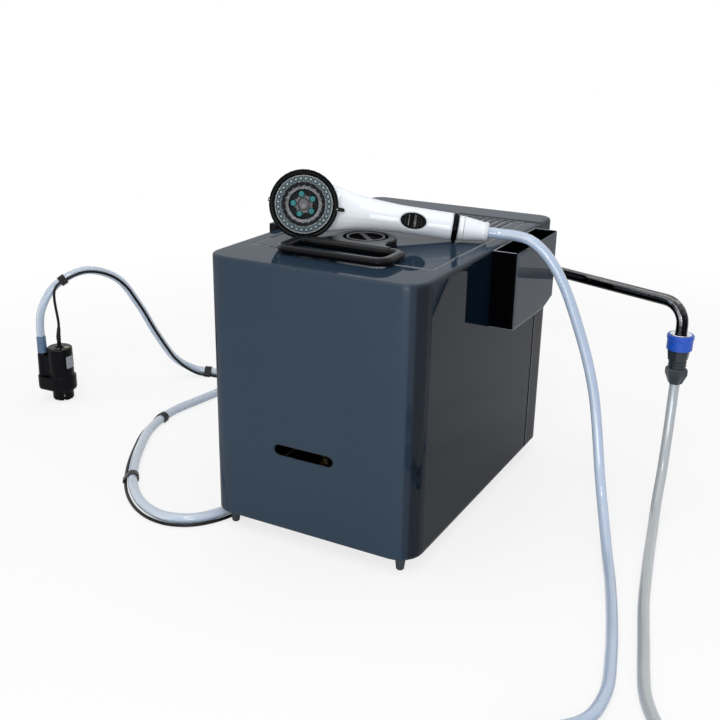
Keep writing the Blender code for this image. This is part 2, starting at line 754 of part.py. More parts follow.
def hub_outline():
    """Oval round the knob that flows into the straight barrel in front of it."""
    reach = BARREL_HALF - 0.001
    start = math.radians(-21)
    join = Vector((HUB_HALF_WIDTH * math.cos(start), KNOB_Y + HUB_RADIUS * math.sin(start)))
    front = HANDLE_REAR_Y
    foot = Vector((reach, front + HANDLE_BAR_WIDTH / 2))
    c1 = foot + Vector((-0.010, 0.0))
    c2 = join + Vector((0.003, -0.009))
    right = []
    for i in range(7):
        t = i / 6
        p = foot * (1 - t) ** 3 + c1 * (3 * t * (1 - t) ** 2) + c2 * (3 * t * t * (1 - t)) + join * t ** 3
        right.append((p.x, p.y))
    wide = HUB_HALF_WIDTH / HUB_RADIUS
    back = [(x * wide, y) for x, y in arc(0, KNOB_Y, HUB_RADIUS, -21, 201, 20)]
    left = [(-x, y) for x, y in right[::-1]]
    return [(reach, front)] + right + back[1:-1] + left + [(-reach, front)]


def make_handle_hub(root):
    low = TOP_Z + GAP
    high = TOP_Z + HUB_HEIGHT
    outline = [(x + HANDLE_X, y) for x, y in hub_outline()]
    bm = prism(outline, low, high)
    front = HANDLE_REAR_Y + 1e-6
    round_edges(bm, lambda p: p.z > high - 1e-6 and p.y > front, HUB_ROUND, 2)
    hub = add_mesh("handle_hub", bm, finish("hub_plastic", BLACK, 0.42), root)
    section = [(u + HANDLE_REAR_Y, v + HANDLE_Z) for u, v in bar_section()]
    barrel = prism(section, HANDLE_X - BARREL_HALF, HANDLE_X + BARREL_HALF, "X")
    combine(hub, add_mesh("hub_barrel", barrel, None, root), "UNION")
    floor = low + HUB_FLOOR
    bore = SPINDLE_R + 0.0005
    profile = [(0, low - 0.005), (bore, low - 0.005), (bore, floor), (HUB_RECESS_R, floor)]
    profile += [(HUB_RECESS_R, high + 0.005), (0, high + 0.005)]
    cuts = lathe(profile, 32, (HANDLE_X, KNOB_Y, 0))
    for side in (-1, 1):
        ends = sorted((side * (BARREL_HALF - HANDLE_PIN_LENGTH - GAP), side * (BARREL_HALF + 0.01)))
        r = HANDLE_PIN_R + GAP
        add_lathe(cuts, [(0, ends[0]), (r, ends[0]), (r, ends[1]), (0, ends[1])], 12,
                  (HANDLE_X, HANDLE_REAR_Y, HANDLE_Z), "X")
    combine(hub, add_mesh("hub_cuts", cuts, None, root), "DIFFERENCE")


def bail_path():
    """Centre line of the swinging handle, measured from its hinge axis."""
    stub = BARREL_HALF + GAP
    half = HANDLE_HALF_WIDTH
    rear = HANDLE_REAR_CORNER
    front = HANDLE_FRONT_CORNER
    right = [(stub, 0.0)]
    right += [(x, y) for x, y in arc(half - rear, -rear, rear, 90, 0, 4)]
    right += [(x, y) for x, y in arc(half - front, -HANDLE_DEPTH + front, front, 0, -90, 4)]
    left = [(-x, y) for x, y in right[::-1]]
    return right + left


def make_handle_bail(axis):
    path = [Vector((x, y, 0)) for x, y in bail_path()]
    rings = []
    for i, at in enumerate(path):
        before = path[max(0, i - 1)]
        after = path[min(len(path) - 1, i + 1)]
        ahead = (after - before).normalized()
        if i in (0, len(path) - 1):
            ahead = Vector((1, 0, 0))
        side = Vector((0, 0, 1)).cross(ahead).normalized()
        rings.append([at + side * u + Vector((0, 0, v)) for u, v in bar_section()])
    bm = bmesh.new()
    add_loft(bm, rings)
    bail = add_mesh("handle_bail", bm, finish("handle_plastic", BLACK, 0.42), axis)
    pins = bmesh.new()
    for side in (-1, 1):
        ends = sorted((side * (BARREL_HALF - HANDLE_PIN_LENGTH), side * (BARREL_HALF + 0.003)))
        r = HANDLE_PIN_R
        add_lathe(pins, [(0, ends[0]), (r, ends[0]), (r, ends[1]), (0, ends[1])], 12, (0, 0, 0), "X")
    combine(bail, add_mesh("bail_pins", pins, None, axis), "UNION")


def make_control_knob(axis):
    """Round knob with a raised rim and a straight grip across it; its base is at the axis origin."""
    r = KNOB_RADIUS
    h = KNOB_HEIGHT
    bm = lathe([(0, 0), (r, 0), (r, h - 0.001), (r - 0.001, h), (0, h)], 32)
    knob = add_mesh("control_knob", bm, finish("knob_plastic", BLACK, 0.38), axis)
    wells = bmesh.new()
    inner = r - KNOB_RIM
    edge = math.degrees(math.asin(KNOB_BAR / 2 / inner))
    for start in (KNOB_BAR_ANGLE + edge, KNOB_BAR_ANGLE + 180 + edge):
        add_prism(wells, arc(0, 0, inner, start, start + 180 - 2 * edge, 10), h - KNOB_WELL, h + 0.002)
    combine(knob, add_mesh("knob_wells", wells, None, axis), "DIFFERENCE")


def make_knob_spindle(axis, base_z):
    low = TOP_Z - PANEL_THICK - GAP - 0.008 + GAP - base_z
    add_mesh("knob_spindle", rod(SPINDLE_R, low, -GAP, 12), finish("spindle_brass", BRASS, 0.35, 0.9), axis)


# ---- spout and quick connector


def make_outlet_elbow(root):
    inner = REAR_Y - 0.008
    bm = rod(OUTLET_R, inner, SPOUT_Y, 16, (SPOUT_X, 0, OUTLET_Z), "Y")
    elbow = add_mesh("outlet_elbow", bm, finish("elbow_chrome", CHROME, 0.12, 1.0), root)
    flange = REAR_Y + GAP
    profile = [(0, flange), (0.012, flange), (0.012, flange + 0.003), (0.0095, flange + 0.005), (0, flange + 0.005)]
    tools = lathe(profile, 16, (SPOUT_X, 0, OUTLET_Z), "Y")
    combine(elbow, add_mesh("elbow_flange", tools, None, root), "UNION")
    cup = lathe(
        [(0, OUTLET_Z - 0.011), (0.007, OUTLET_Z - 0.010), (OUTLET_CUP_R, OUTLET_Z - 0.005),
         (OUTLET_CUP_R, OUTLET_CUP_TOP), (0, OUTLET_CUP_TOP)], 16, (SPOUT_X, SPOUT_Y, 0)
    )
    combine(elbow, add_mesh("elbow_cup", cup, None, root), "UNION")
    bore = rod(SPOUT_R + GAP, OUTLET_Z + 0.002, OUTLET_CUP_TOP + 0.01, 16, (SPOUT_X, SPOUT_Y, 0))
    combine(elbow, add_mesh("elbow_bore", bore, None, root), "DIFFERENCE")


def make_spout_nut(root):
    low = OUTLET_CUP_TOP + GAP
    corner = SPOUT_NUT_AF / math.sqrt(3)
    bm = prism(circle(SPOUT_X, SPOUT_Y, corner, 6), low, low + SPOUT_NUT_H)
    nut = add_mesh("spout_nut", bm, finish("nut_chrome", CHROME, 0.15, 1.0), root)
    bore = rod(SPOUT_R + GAP, low - 0.01, low + SPOUT_NUT_H + 0.01, 16, (SPOUT_X, SPOUT_Y, 0))
    combine(nut, add_mesh("nut_bore", bore, None, root), "DIFFERENCE")


def make_spout_pipe(axis):
    """Goose-neck pipe; the axis stands at the swivel, with the pipe reaching along its own X."""
    start = OUTLET_Z + 0.003
    points = [(0, 0, start), (0, 0, SPOUT_HEIGHT), (SPOUT_REACH, 0, SPOUT_HEIGHT), (SPOUT_REACH, 0, SPOUT_TIP_Z)]
    path = filleted(points, SPOUT_BEND, 7)
    add_tube("spout_pipe", path, SPOUT_R, finish("spout_chrome", CHROME, 0.08, 1.0), axis, 4)


def make_connector_body(axis):
    """Snap-on hose connector: open tube above, hexagon, neck."""
    top = SPOUT_TIP_Z + 0.004
    tube_floor = SPOUT_TIP_Z - 0.004
    rib = CONNECTOR_NECK_R
    groove = rib - 0.0009
    low = NUT_TOP_Z + GAP
    step = (HEX_BOTTOM_Z - low) / 5
    profile = [(0, low), (groove, low)]
    for i in (1, 3):
        profile += [(groove, low + step * i), (rib, low + step * (i + 0.2))]
        profile += [(rib, low + step * (i + 0.9)), (groove, low + step * (i + 1.1))]
    profile += [
        (groove, HEX_TOP_Z - 0.004), (CONNECTOR_TUBE_R, HEX_TOP_Z - 0.003), (CONNECTOR_TUBE_R, top),
        (CONNECTOR_BORE_R, top), (CONNECTOR_BORE_R, tube_floor), (0, tube_floor)
    ]
    body = add_mesh("connector_body", lathe(profile, 20, (SPOUT_REACH, 0, 0)),
                    finish("connector_plastic", GREY, 0.45), axis)
    turn = CONNECTOR_HEX_TURN
    outline = arc(SPOUT_REACH, 0, CONNECTOR_HEX_AF / math.sqrt(3), turn, turn + 300, 5)
    hexagon = prism(outline, HEX_BOTTOM_Z, HEX_TOP_Z)
    foot = HEX_BOTTOM_Z + 1e-6
    bmesh.ops.scale(
        hexagon, vec=(0.86, 0.86, 1), verts=[v for v in hexagon.verts if v.co.z < foot],
        space=Matrix.Translation((-SPOUT_REACH, 0, 0))
    )
    combine(body, add_mesh("connector_hexagon", hexagon, None, axis), "UNION")


def make_connector_collar(axis):
    """Release collar; it slides down over the hexagon, and its origin is at its lower rim."""
    bore = CONNECTOR_TUBE_R + 0.0004
    skirt = CONNECTOR_HEX_AF / math.sqrt(3) + 0.0005
    length = COLLAR_LENGTH
    web = COLLAR_TRAVEL + 0.0045
    profile = [
        (skirt, 0), (COLLAR_R - 0.0008, 0), (COLLAR_R - 0.0008, length * 0.62), (COLLAR_R, length * 0.72),
        (COLLAR_R, length - 0.001), (COLLAR_R - 0.001, length), (COLLAR_R - 0.0028, length),
        (COLLAR_R - 0.0034, length - 0.006), (bore, length - 0.008), (bore, web), (skirt, web)
    ]
    add_mesh("connector_collar", lathe(profile, 24), finish("collar_blue", BLUE, 0.4), axis)


def make_connector_nut(axis):
    h = CONNECTOR_NUT_H
    profile = [
        (0, NUT_BOTTOM_Z), (CONNECTOR_NUT_TIP_R, NUT_BOTTOM_Z), (CONNECTOR_NUT_R, NUT_BOTTOM_Z + h * 0.58),
        (CONNECTOR_NUT_R, NUT_BOTTOM_Z + h * 0.88), (CONNECTOR_NUT_R - 0.0014, NUT_TOP_Z), (0, NUT_TOP_Z)
    ]
    bm = lathe(profile, 6, (SPOUT_REACH, 0, 0))
    turn = Matrix.Rotation(math.radians(CONNECTOR_NUT_TURN), 3, "Z")
    bmesh.ops.rotate(bm, cent=(SPOUT_REACH, 0, 0), matrix=turn, verts=bm.verts)
    add_mesh("connector_nut", bm, finish("connector_nut_plastic", GREY, 0.45), axis, smooth=False)


# ---- hand shower


def shower_frames():
    """Face frame (X to the hose end, Z out of the face) and handle frame (X along the handle)."""
    face = Vector((FACE_X, FACE_Y, TOP_Z + FACE_ABOVE_TOP))
    band = Vector((BAND_X, BAND_Y, TOP_Z + BAND_ABOVE_TOP))
    along = (band - face).normalized()
    out = (VIEW_SIDE - along * VIEW_SIDE.dot(along)).normalized()
    across = out.cross(along)
    turn = Matrix((along, across, out)).transposed()
    neck = face - out * HANDLE_BEHIND_FACE
    along2 = (band - neck).normalized()
    out2 = (VIEW_SIDE - along2 * VIEW_SIDE.dot(along2)).normalized()
    turn2 = Matrix((along2, out2.cross(along2), out2)).transposed()
    return face, turn, neck, turn2, (band - neck).length


def oval(cx, cy, a, b, steps):
    return [(cx + a * u, cy + b * v) for u, v in circle(0, 0, 1.0, steps)]


def make_shower_body(root, face, turn, neck, turn2, reach):
    back = -RING_THICK + 0.0012 - GAP
    r = RING_R
    profile = [
        (0, back), (r - 0.0022, back), (r - 0.0012, back - 0.003), (r - 0.0028, back - 0.008),
        (r - 0.0085, back - HEAD_DEPTH * 0.66), (r - 0.020, back - HEAD_DEPTH * 0.92), (0, back - HEAD_DEPTH)
    ]
    body = add_mesh("shower_body", lathe(profile, 28), finish("shower_white", WHITE, 0.25), root, face, turn)
    end = reach - SHOWER_BAND_W / 2 - GAP
    stations = (
        (0.010, 0.0262, 0.0065, -0.0010), (0.024, 0.0278, 0.0070, -0.0015), (0.038, 0.0246, 0.0080, -0.0035),
        (0.0415, 0.0238, 0.0092, -0.0030), (0.050, 0.0215, 0.0105, -0.0018), (0.062, 0.0194, 0.0130, -0.0005),
        (0.076, 0.0178, 0.0146, 0.0), (0.092, 0.0166, 0.0153, 0.0)
    )
    rings = []
    for x, across, deep, lift in stations:
        rings.append([(x, v, w) for v, w in oval(0, lift, across, deep, 20)])
    for x, radius in ((0.110, SHOWER_HANDLE_R + 0.0002), (0.140, SHOWER_HANDLE_R), (end, SHOWER_HANDLE_R)):
        rings.append([(x, v, w) for v, w in oval(0, 0, radius, radius, 20)])
    bm = bmesh.new()
    add_loft(bm, rings)
    grip = add_mesh("shower_grip", bm, None, root, neck, turn2)
    combine(body, grip, "UNION")
    floor = SHOWER_HANDLE_R - BUTTON_DEPTH
    recess = oval(BUTTON_STATION, 0, BUTTON_HALF_LENGTH + 0.0004, BUTTON_HALF_WIDTH + 0.0004, 20)
    cut = prism(recess, floor, SHOWER_HANDLE_R + 0.01)
    combine(body, add_mesh("button_recess", cut, None, root, neck, turn2), "DIFFERENCE")
    guide = rod(BUTTON_STEM_R + GAP, floor - BUTTON_TRAVEL - GAP, floor + 0.001, 12, (BUTTON_STATION, 0, 0))
    combine(body, add_mesh("button_guide", guide, None, root, neck, turn2), "DIFFERENCE")


def make_shower_ring(axis):
    """Black outer ring with the thumb lever that turns it."""
    r = RING_R
    back = -RING_THICK + 0.0012
    profile = [
        (RING_BORE, back), (r - 0.0012, back), (r, back + 0.0015), (r, -0.0005), (r - 0.0016, 0.0012),
        (RING_BORE + 0.002, 0.0012), (RING_BORE, 0.0)
    ]
    ring = add_mesh("shower_ring", lathe(profile, 36), finish("ring_plastic", BLACK, 0.4), axis)
    half = LEVER_WIDTH / 2
    lever = prism(
        [(r - 0.0022, -half), (LEVER_REACH - half, -half)] + arc(LEVER_REACH - half, 0, half, -60, 60, 4)
        + [(LEVER_REACH - half, half), (r - 0.0022, half)], -0.0006, 0.0008
    )
    combine(ring, add_mesh("ring_lever", lever, None, axis), "UNION")


def make_nozzle_ring(axis):
    back = -RING_THICK + 0.0012
    outer = RING_BORE - 0.0004
    inner = NOZZLE_RING_BORE
    profile = [(inner, back), (outer, back), (outer, -0.0008), (outer - 0.0008, 0.0), (inner + 0.0006, 0.0),
               (inner, -0.0006)]
    add_mesh("nozzle_ring", lathe(profile, 30), finish("nozzle_teal", TEAL, 0.45), axis)


def make_spray_disc(axis):
    """Middle of the face: a sunk ring round a five-lobed boss."""
    back = -RING_THICK + 0.0012
    outer = NOZZLE_RING_BORE - 0.0004
    profile = [(0, back), (outer, back), (outer, -0.0008), (STAR_TIP_R + 0.0014, -0.0002), (STAR_TIP_R, -0.0022),
               (0, -0.0022)]
    disc = add_mesh("spray_disc", lathe(profile, 24), finish("disc_grey", GREY, 0.45), axis)
    points = []
    for i in range(30):
        a = 2 * math.pi * i / 30
        wave = 0.5 + 0.5 * math.cos(5 * (a - math.radians(100)))
        radius = STAR_ROOT_R + (STAR_TIP_R - 0.0012 - STAR_ROOT_R) * wave
        points.append((radius * math.cos(a), radius * math.sin(a)))
    combine(disc, add_mesh("disc_star", prism(points, -0.003, 0.0004), None, axis), "UNION")


def make_pause_button(axis):
    """Oval press button; its origin is on the handle's axis under the button."""
    floor = SHOWER_HANDLE_R - BUTTON_DEPTH
    low = floor + BUTTON_TRAVEL + GAP
    bm = prism(oval(0, 0, BUTTON_HALF_LENGTH, BUTTON_HALF_WIDTH, 20), low, SHOWER_HANDLE_R + 0.0004)
    round_edges(bm, lambda p: p.z > SHOWER_HANDLE_R, 0.0008, 1)
    button = add_mesh("pause_button", bm, finish("button_plastic", BLACK, 0.35), axis)
    stem = rod(BUTTON_STEM_R, floor, low + 0.001, 10)
    combine(button, add_mesh("button_stem", stem, None, axis), "UNION")
    ribs = bmesh.new()
    for x in (-0.0026, 0.0026):
        add_prism(
            ribs, [(x - 0.0008, -0.0062), (x + 0.0008, -0.0062), (x + 0.0008, 0.0062), (x - 0.0008, 0.0062)],
            SHOWER_HANDLE_R - 0.0006, SHOWER_HANDLE_R + 0.0012
        )
    combine(button, add_mesh("button_ribs", ribs, None, axis), "UNION")


def make_shower_band(frame, reach):
    half = SHOWER_BAND_W / 2
    r = SHOWER_BAND_R
    profile = [(0, -half), (r - 0.0006, -half), (r, -half + 0.001), (r, half - 0.001), (r - 0.0006, half), (0, half)]
    add_mesh("shower_band", lathe(profile, 24, (0, 0, 0), "X"), finish("band_plastic", BLACK, 0.35), frame,
             (reach, 0, 0))


def make_hose_nut(frame, reach):
    start = SHOWER_BAND_W / 2 + GAP
    end = start + HOSE_NUT_LENGTH
    tip = HOSE_NUT_TIP_R
    profile = [
        (0, start), (HOSE_NUT_R - 0.0006, start), (HOSE_NUT_R, start + 0.001), (HOSE_NUT_R, start + 0.006),
        (tip, end - 0.003), (tip + 0.0005, end - 0.0025), (tip + 0.0005, end - 0.0005), (tip, end), (0, end)
    ]
    add_mesh("hose_nut", lathe(profile, 24, (0, 0, 0), "X"), finish("nut_white", WHITE, 0.3), frame,
             (reach, 0, 0))


# ---- hoses and cable


def coil_path():
    """Two flat layers: in on the floor, a climb in the half turn at the middle, and out again on top."""
    total = COIL_TURNS * 2 * math.pi
    middle = total / 2
    steps = round(COIL_TURNS * COIL_POINTS_PER_TURN)
    path = [Vector((COIL_X - COIL_OUTER_R, COIL_Y + COIL_END, HOSE_REST))]
    for i in range(steps + 1):
        swept = total * i / steps
        inward = min(swept, total - swept)
        radius = COIL_OUTER_R - COIL_PITCH * inward / (2 * math.pi)
        climb = (swept - middle) / math.pi + 0.5
        climb = min(1.0, max(0.0, climb))
        climb = climb * climb * (3 - 2 * climb)
        angle = math.pi + swept
        path.append(Vector((
            COIL_X + radius * math.cos(angle), COIL_Y + radius * math.sin(angle),
            HOSE_REST + COIL_LAYER * climb,
        )))
    path.append(Vector((COIL_X + COIL_OUTER_R, COIL_Y + COIL_END, HOSE_REST + COIL_LAYER)))
    return path


def least_gap(path, radius, skip):
    """Smallest clear distance between stretches of one tube that are at least skip apart."""
    best = 1.0
    fine = []
    for a, b in zip(path, path[1:]):
        fine += [a.lerp(b, k / 4) for k in range(4)]
    travelled = [0.0]
    for a, b in zip(fine, fine[1:]):
        travelled.append(travelled[-1] + (b - a).length)
    for i in range(len(fine)):
        for j in range(i + 1, len(fine)):
            if travelled[j] - travelled[i] > skip:
                best = min(best, (fine[i] - fine[j]).length - 2 * radius)
    return best


def shower_hose_path(start, ahead):
    """From the hand shower over the holster and down to the floor, then forward to the coil."""
    coil_in = Vector((COIL_X - COIL_OUTER_R, COIL_Y + COIL_END, HOSE_REST))
    points = [start, start + ahead * 0.014]
    points += [
        (0.1405, 0.0215, 0.3298), (0.1580, 0.0225, 0.3265), (0.1735, 0.0240, 0.3155), (0.1870, 0.0265, 0.2985),
        (0.1990, 0.0290, 0.2770), (0.2090, 0.0310, 0.2540), (0.2180, 0.0325, 0.2310), (0.2265, 0.0335, 0.2080),
        (0.2350, 0.0340, 0.1820), (0.2425, 0.0335, 0.1550), (0.2490, 0.0310, 0.1250), (0.2555, 0.0255, 0.0950),
        (0.2620, 0.0170, 0.0700), (0.2695, 0.0050, 0.0490), (0.2780, -0.0110, 0.0320), (0.2875, -0.0320, 0.0185),
        (0.2975, -0.0570, 0.0092), (0.3085, -0.0870, HOSE_REST), (0.3210, -0.1260, HOSE_REST),
        (0.3345, -0.1720, HOSE_REST), (0.3490, -0.2280, HOSE_REST), (0.3590, -0.2820, HOSE_REST),
        (0.3540, -0.3250, HOSE_REST), (0.3280, -0.3560, HOSE_REST), (0.3060, -0.3830, HOSE_REST),
    ]
    points += [coil_in + Vector((0, 0.0125, 0)), coil_in + Vector((0, GAP, 0))]
    return smooth_route(points, HOSE_STEP)


def return_hose_path(start):
    """From the coil back to the quick connector under the spout."""
    coil_out = Vector((COIL_X + COIL_OUTER_R, COIL_Y + COIL_END, HOSE_REST + COIL_LAYER))
    points = [coil_out + Vector((0, GAP, 0)), coil_out + Vector((0, 0.0125, 0))]
    points += [
        (0.4435, -0.3760, 0.0148), (0.4360, -0.3480, 0.0092),
        (0.4200, -0.3200, HOSE_REST), (0.4040, -0.2960, HOSE_REST), (0.3910, -0.2700, HOSE_REST),
        (0.3820, -0.2400, HOSE_REST), (0.3710, -0.1950, HOSE_REST),
        (0.3540, -0.1250, HOSE_REST), (0.3380, -0.0400, HOSE_REST), (0.3270, 0.0250, 0.0075),
        (0.3190, 0.0720, 0.0200), (0.3152, 0.1042, 0.0480), (0.3125, 0.1257, 0.0870),
    ]
    points += [start - Vector((0, 0.0008, 0.0180)), start]
    return smooth_route(points, HOSE_STEP)


def pump_hose_path(start, finish_at):
    """Up out of the pump, over to the floor, in an easy bend under the casing and up to the inlet."""
    z = HOSE_REST
    points = [start, start + Vector((0, 0, 0.014))]
    points += [
        (-0.5720, -0.0070, 0.1380), (-0.5590, 0.0110, 0.1720), (-0.5320, 0.0480, 0.1910), (-0.5060, 0.0850, 0.1740),
        (-0.4890, 0.1100, 0.1300), (-0.4750, 0.1320, 0.0780), (-0.4600, 0.1570, 0.0320), (-0.4400, 0.1810, 0.0105),
        (-0.4120, 0.1960, z), (-0.3820, 0.1920, z), (-0.3620, 0.1700, z), (-0.3560, 0.1370, z),
        (-0.3620, 0.0850, z), (-0.3680, 0.0300, z), (-0.3560, -0.0310, z), (-0.3280, -0.0870, z),
        (-0.2920, -0.1430, z), (-0.2550, -0.1860, z), (-0.2130, -0.2150, z), (-0.1750, -0.2230, z),
        (-0.1440, -0.2090, z), (-0.1260, -0.1790, z), (-0.1170, -0.1400, z), (-0.1070, -0.0950, z),
        (-0.0930, -0.0350, z), (-0.0790, 0.0250, z), (-0.0690, 0.0850, z),
        (-0.0620, 0.1300, z),
    ]
    bend = arc(finish_at.y - HOSE_BEND, z + HOSE_BEND, HOSE_BEND, -90, 0, 4)
    points += [(finish_at.x, y, height) for y, height in bend]
    points += [finish_at]
    return smooth_route(points, HOSE_STEP)


def right_of(ahead):
    return Vector((ahead.y, -ahead.x, 0)).normalized()


def cable_beside(hose, first, last):
    """The cable's points beside the hose's own points, so that the two stay parallel."""
    places = []
    travelled = 0.0
    for before, at, after in zip(hose, hose[1:], hose[2:]):
        travelled += (at - before).length
        if first < travelled < last:
            one = right_of(at - before)
            across = (one + right_of(after - at)).normalized()
            spot = at + across * (CABLE_BESIDE / across.dot(one))
            lifted = min(1.0, (at.z - HOSE_REST) / 0.030)
            spot.z -= (HOSE_REST - CABLE_REST) * (1 - lifted)
            places.append(spot)
    return places


def on_floor(at):
    return at.z < HOSE_REST + 0.002


def clip_seats(hose):
    """Middle and direction of the straight piece of hose that each clip sits on."""
    seats = []
    for station in CLIP_STATIONS:
        travelled = 0.0
        for a, b in zip(hose, hose[1:]):
            travelled += (b - a).length
            if travelled > station:
                seats.append(((a + b) / 2, (b - a).normalized()))
                break
    return seats


CLIP_STATIONS = (0.100, 0.410, 0.640, 0.830)


def pump_cable_path(start, hose, plug_end):
    """Out of the pump's lid, along the hose through its clips, under the casing and into the rear socket."""
    z = CABLE_REST
    beside = cable_beside(hose, 0.075, 1.160)
    rise = [start, start + Vector((0, 0, 0.006)), start + Vector((0.0015, 0.001, 0.024))]
    points = [(-0.060, 0.020, z), (-0.036, 0.080, z), (-0.020, 0.140, z), (plug_end.x, 0.190, z)]
    points += [
        (plug_end.x, plug_end.y + 0.004, 0.0030), (plug_end.x, plug_end.y + 0.0225, 0.0105),
        (plug_end.x, plug_end.y + 0.0285, 0.0240), (plug_end.x, plug_end.y + 0.0225, 0.0375),
    ]
    points += [plug_end + Vector((0, 0.006, 0)), plug_end]
    head = smooth_route(rise + beside[:2], CABLE_STEP, 0.004)
    tail = smooth_route(beside[-2:] + points, CABLE_STEP, 0.004)
    return head + beside[2:-2] + tail


def saddle_outline(grow):
    """Outline round the hose and the cable beside it, in the plane across the hose."""
    hose = HOSE_R + grow
    cable = CABLE_R + grow
    lean = math.degrees(math.asin((hose - cable) / CABLE_BESIDE))
    points = arc(0, 0, hose, 90 - lean, 270 + lean, 10)
    points += arc(CABLE_BESIDE, 0, cable, -90 + lean, 90 - lean, 5)
    return points


def make_cable_clips(root, hose):
    """Plastic clips that hold the cable to the hose, as rings in the air and open below on the floor."""
    plastic = finish("clip_plastic", BLACK, 0.45)
    for number, (at, ahead) in enumerate(clip_seats(hose), 1):
        bm = bmesh.new()
        across = right_of(ahead)
        up = across.cross(ahead)
        if up.z < 0:
            up = -up
        outer = saddle_outline(CLIP_PLAY + CLIP_WALL)
        inner = saddle_outline(CLIP_PLAY)
        lying = on_floor(at)
        if lying:
            drop = CABLE_REST - HOSE_REST
            floor = 0.0006 - HOSE_REST
            grow = CLIP_PLAY + CLIP_WALL
            outer = arch_over(HOSE_R + grow, CABLE_R + grow, drop, floor)
            inner = arch_over(HOSE_R + CLIP_PLAY, CABLE_R + CLIP_PLAY, drop, floor)
        loops = []
        for outline in (outer, inner):
            for end in (-CLIP_WIDTH / 2, CLIP_WIDTH / 2):
                ring = [bm.verts.new(at + across * u + up * v + ahead * end) for u, v in outline]
                loops.append(ring)
        count = len(outer)
        last = count - 1 if lying else count
        for a, b in ((0, 1), (3, 2), (2, 0), (1, 3)):
            for i in range(last):
                j = (i + 1) % count
                bm.faces.new((loops[a][i], loops[a][j], loops[b][j], loops[b][i]))
        if lying:
            for i in (0, count - 1):
                bm.faces.new((loops[0][i], loops[1][i], loops[3][i], loops[2][i]))
        add_mesh("cable_clip_" + str(number), bm, plastic, root)


def arch_over(hose, cable, drop, floor):
    """Open outline that starts and ends near the floor, over the hose and the cable at its foot."""
    start = 180 - math.degrees(math.asin(floor / hose))
    far = CABLE_BESIDE
    gap = math.hypot(far, drop)
    tilt = math.degrees(math.atan2(drop, far))
    lean = tilt + math.degrees(math.acos((hose - cable) / gap))
    end = math.degrees(math.asin(max(-1.0, min(1.0, (floor - drop) / cable))))
    points = arc(0, 0, hose, start, lean, 8)
    points += arc(far, drop, cable, lean, end, 5)
    return points


# ---- pump


def hull_outline(big, small, offset, steps):
    """Outline round a large circle and a smaller one to its left."""
    lean = math.degrees(math.acos((big - small) / offset))
    points = arc(0, 0, big, lean - 180, 180 - lean, steps)
    points += arc(-offset, 0, small, 180 - lean, 180 + lean, steps // 2)
    return points


def make_strainer(frame):
    r = STRAINER_R
    wall = STRAINER_WALL
    h = STRAINER_H
    profile = [
        (0, 0.003), (r - wall - 0.001, 0.003), (r - wall, 0), (r - 0.001, 0), (r, 0.002), (r, h), (r - wall, h),
        (r - wall, 0.0045), (0, 0.0045)
    ]
    strainer = add_mesh("pump_strainer", lathe(profile, 24), finish("strainer_plastic", BLACK, 0.5), frame)
    cuts = bmesh.new()
    for i in range(STRAINER_SLOTS):
        a = 2 * math.pi * (i + 0.5) / STRAINER_SLOTS
        ahead = Vector((math.cos(a), math.sin(a)))
        side = Vector((-ahead.y, ahead.x)) * 0.0011
        near = ahead * (r - wall - 0.0004)
        far = ahead * (r + 0.003)
        outline = [tuple(near - side), tuple(far - side), tuple(far + side), tuple(near + side)]
        add_prism(cuts, outline, -0.002, h - 0.004)
    combine(strainer, add_mesh("strainer_slots", cuts, None, frame), "DIFFERENCE")


def make_pump_base(frame):
    low = STRAINER_H + GAP
    high = low + BASE_H
    outline = hull_outline(BASE_R, VOLUTE_R, OUTLET_OFFSET - 0.001, 22)
    bm = prism(outline, low, high)
    round_edges(bm, lambda p: p.z < low + 1e-6, 0.004, 2)
    base = add_mesh("pump_base", bm, finish("pump_base_plastic", BLACK, 0.45), frame)
    ceiling = high - 0.008
    shaft = SHAFT_R + GAP
    profile = [
        (0, low - 0.002), (0.008, low - 0.002), (0.008, low + 0.003), (IMPELLER_R + 0.001, low + 0.003),
        (IMPELLER_R + 0.001, ceiling), (shaft, ceiling), (shaft, high + 0.002), (0, high + 0.002)
    ]
    combine(base, add_mesh("base_cavity", lathe(profile, 24), None, frame), "DIFFERENCE")


def make_impeller(axis):
    """Vaned wheel on the motor shaft; the axis origin is at the wheel's underside."""
    room = BASE_H - 0.011
    top = room - GAP
    plate = top - 0.0016
    shaft_top = STRAINER_H + GAP + BASE_H + 0.030
    rise = shaft_top - (STRAINER_H + GAP + 0.003)
    profile = [
        (0, 0.001), (0.003, 0.001), (0.0036, plate), (IMPELLER_R, plate), (IMPELLER_R, top), (SHAFT_R, top),
        (SHAFT_R, rise), (0, rise)
    ]
    wheel = add_mesh("pump_impeller", lathe(profile, 20), finish("impeller_plastic", WHITE, 0.5), axis)
    vanes = bmesh.new()
    for i in range(6):
        a = 2 * math.pi * i / 6
        ahead = Vector((math.cos(a), math.sin(a)))
        side = Vector((-ahead.y, ahead.x)) * 0.0006
        near = ahead * 0.0045
        far = ahead * (IMPELLER_R - 0.0006) + side * 5
        outline = [tuple(near - side), tuple(far - side), tuple(far + side), tuple(near + side)]
        add_prism(vanes, outline, 0.0012, plate + 0.0006)
    combine(wheel, add_mesh("impeller_vanes", vanes, None, axis), "UNION")


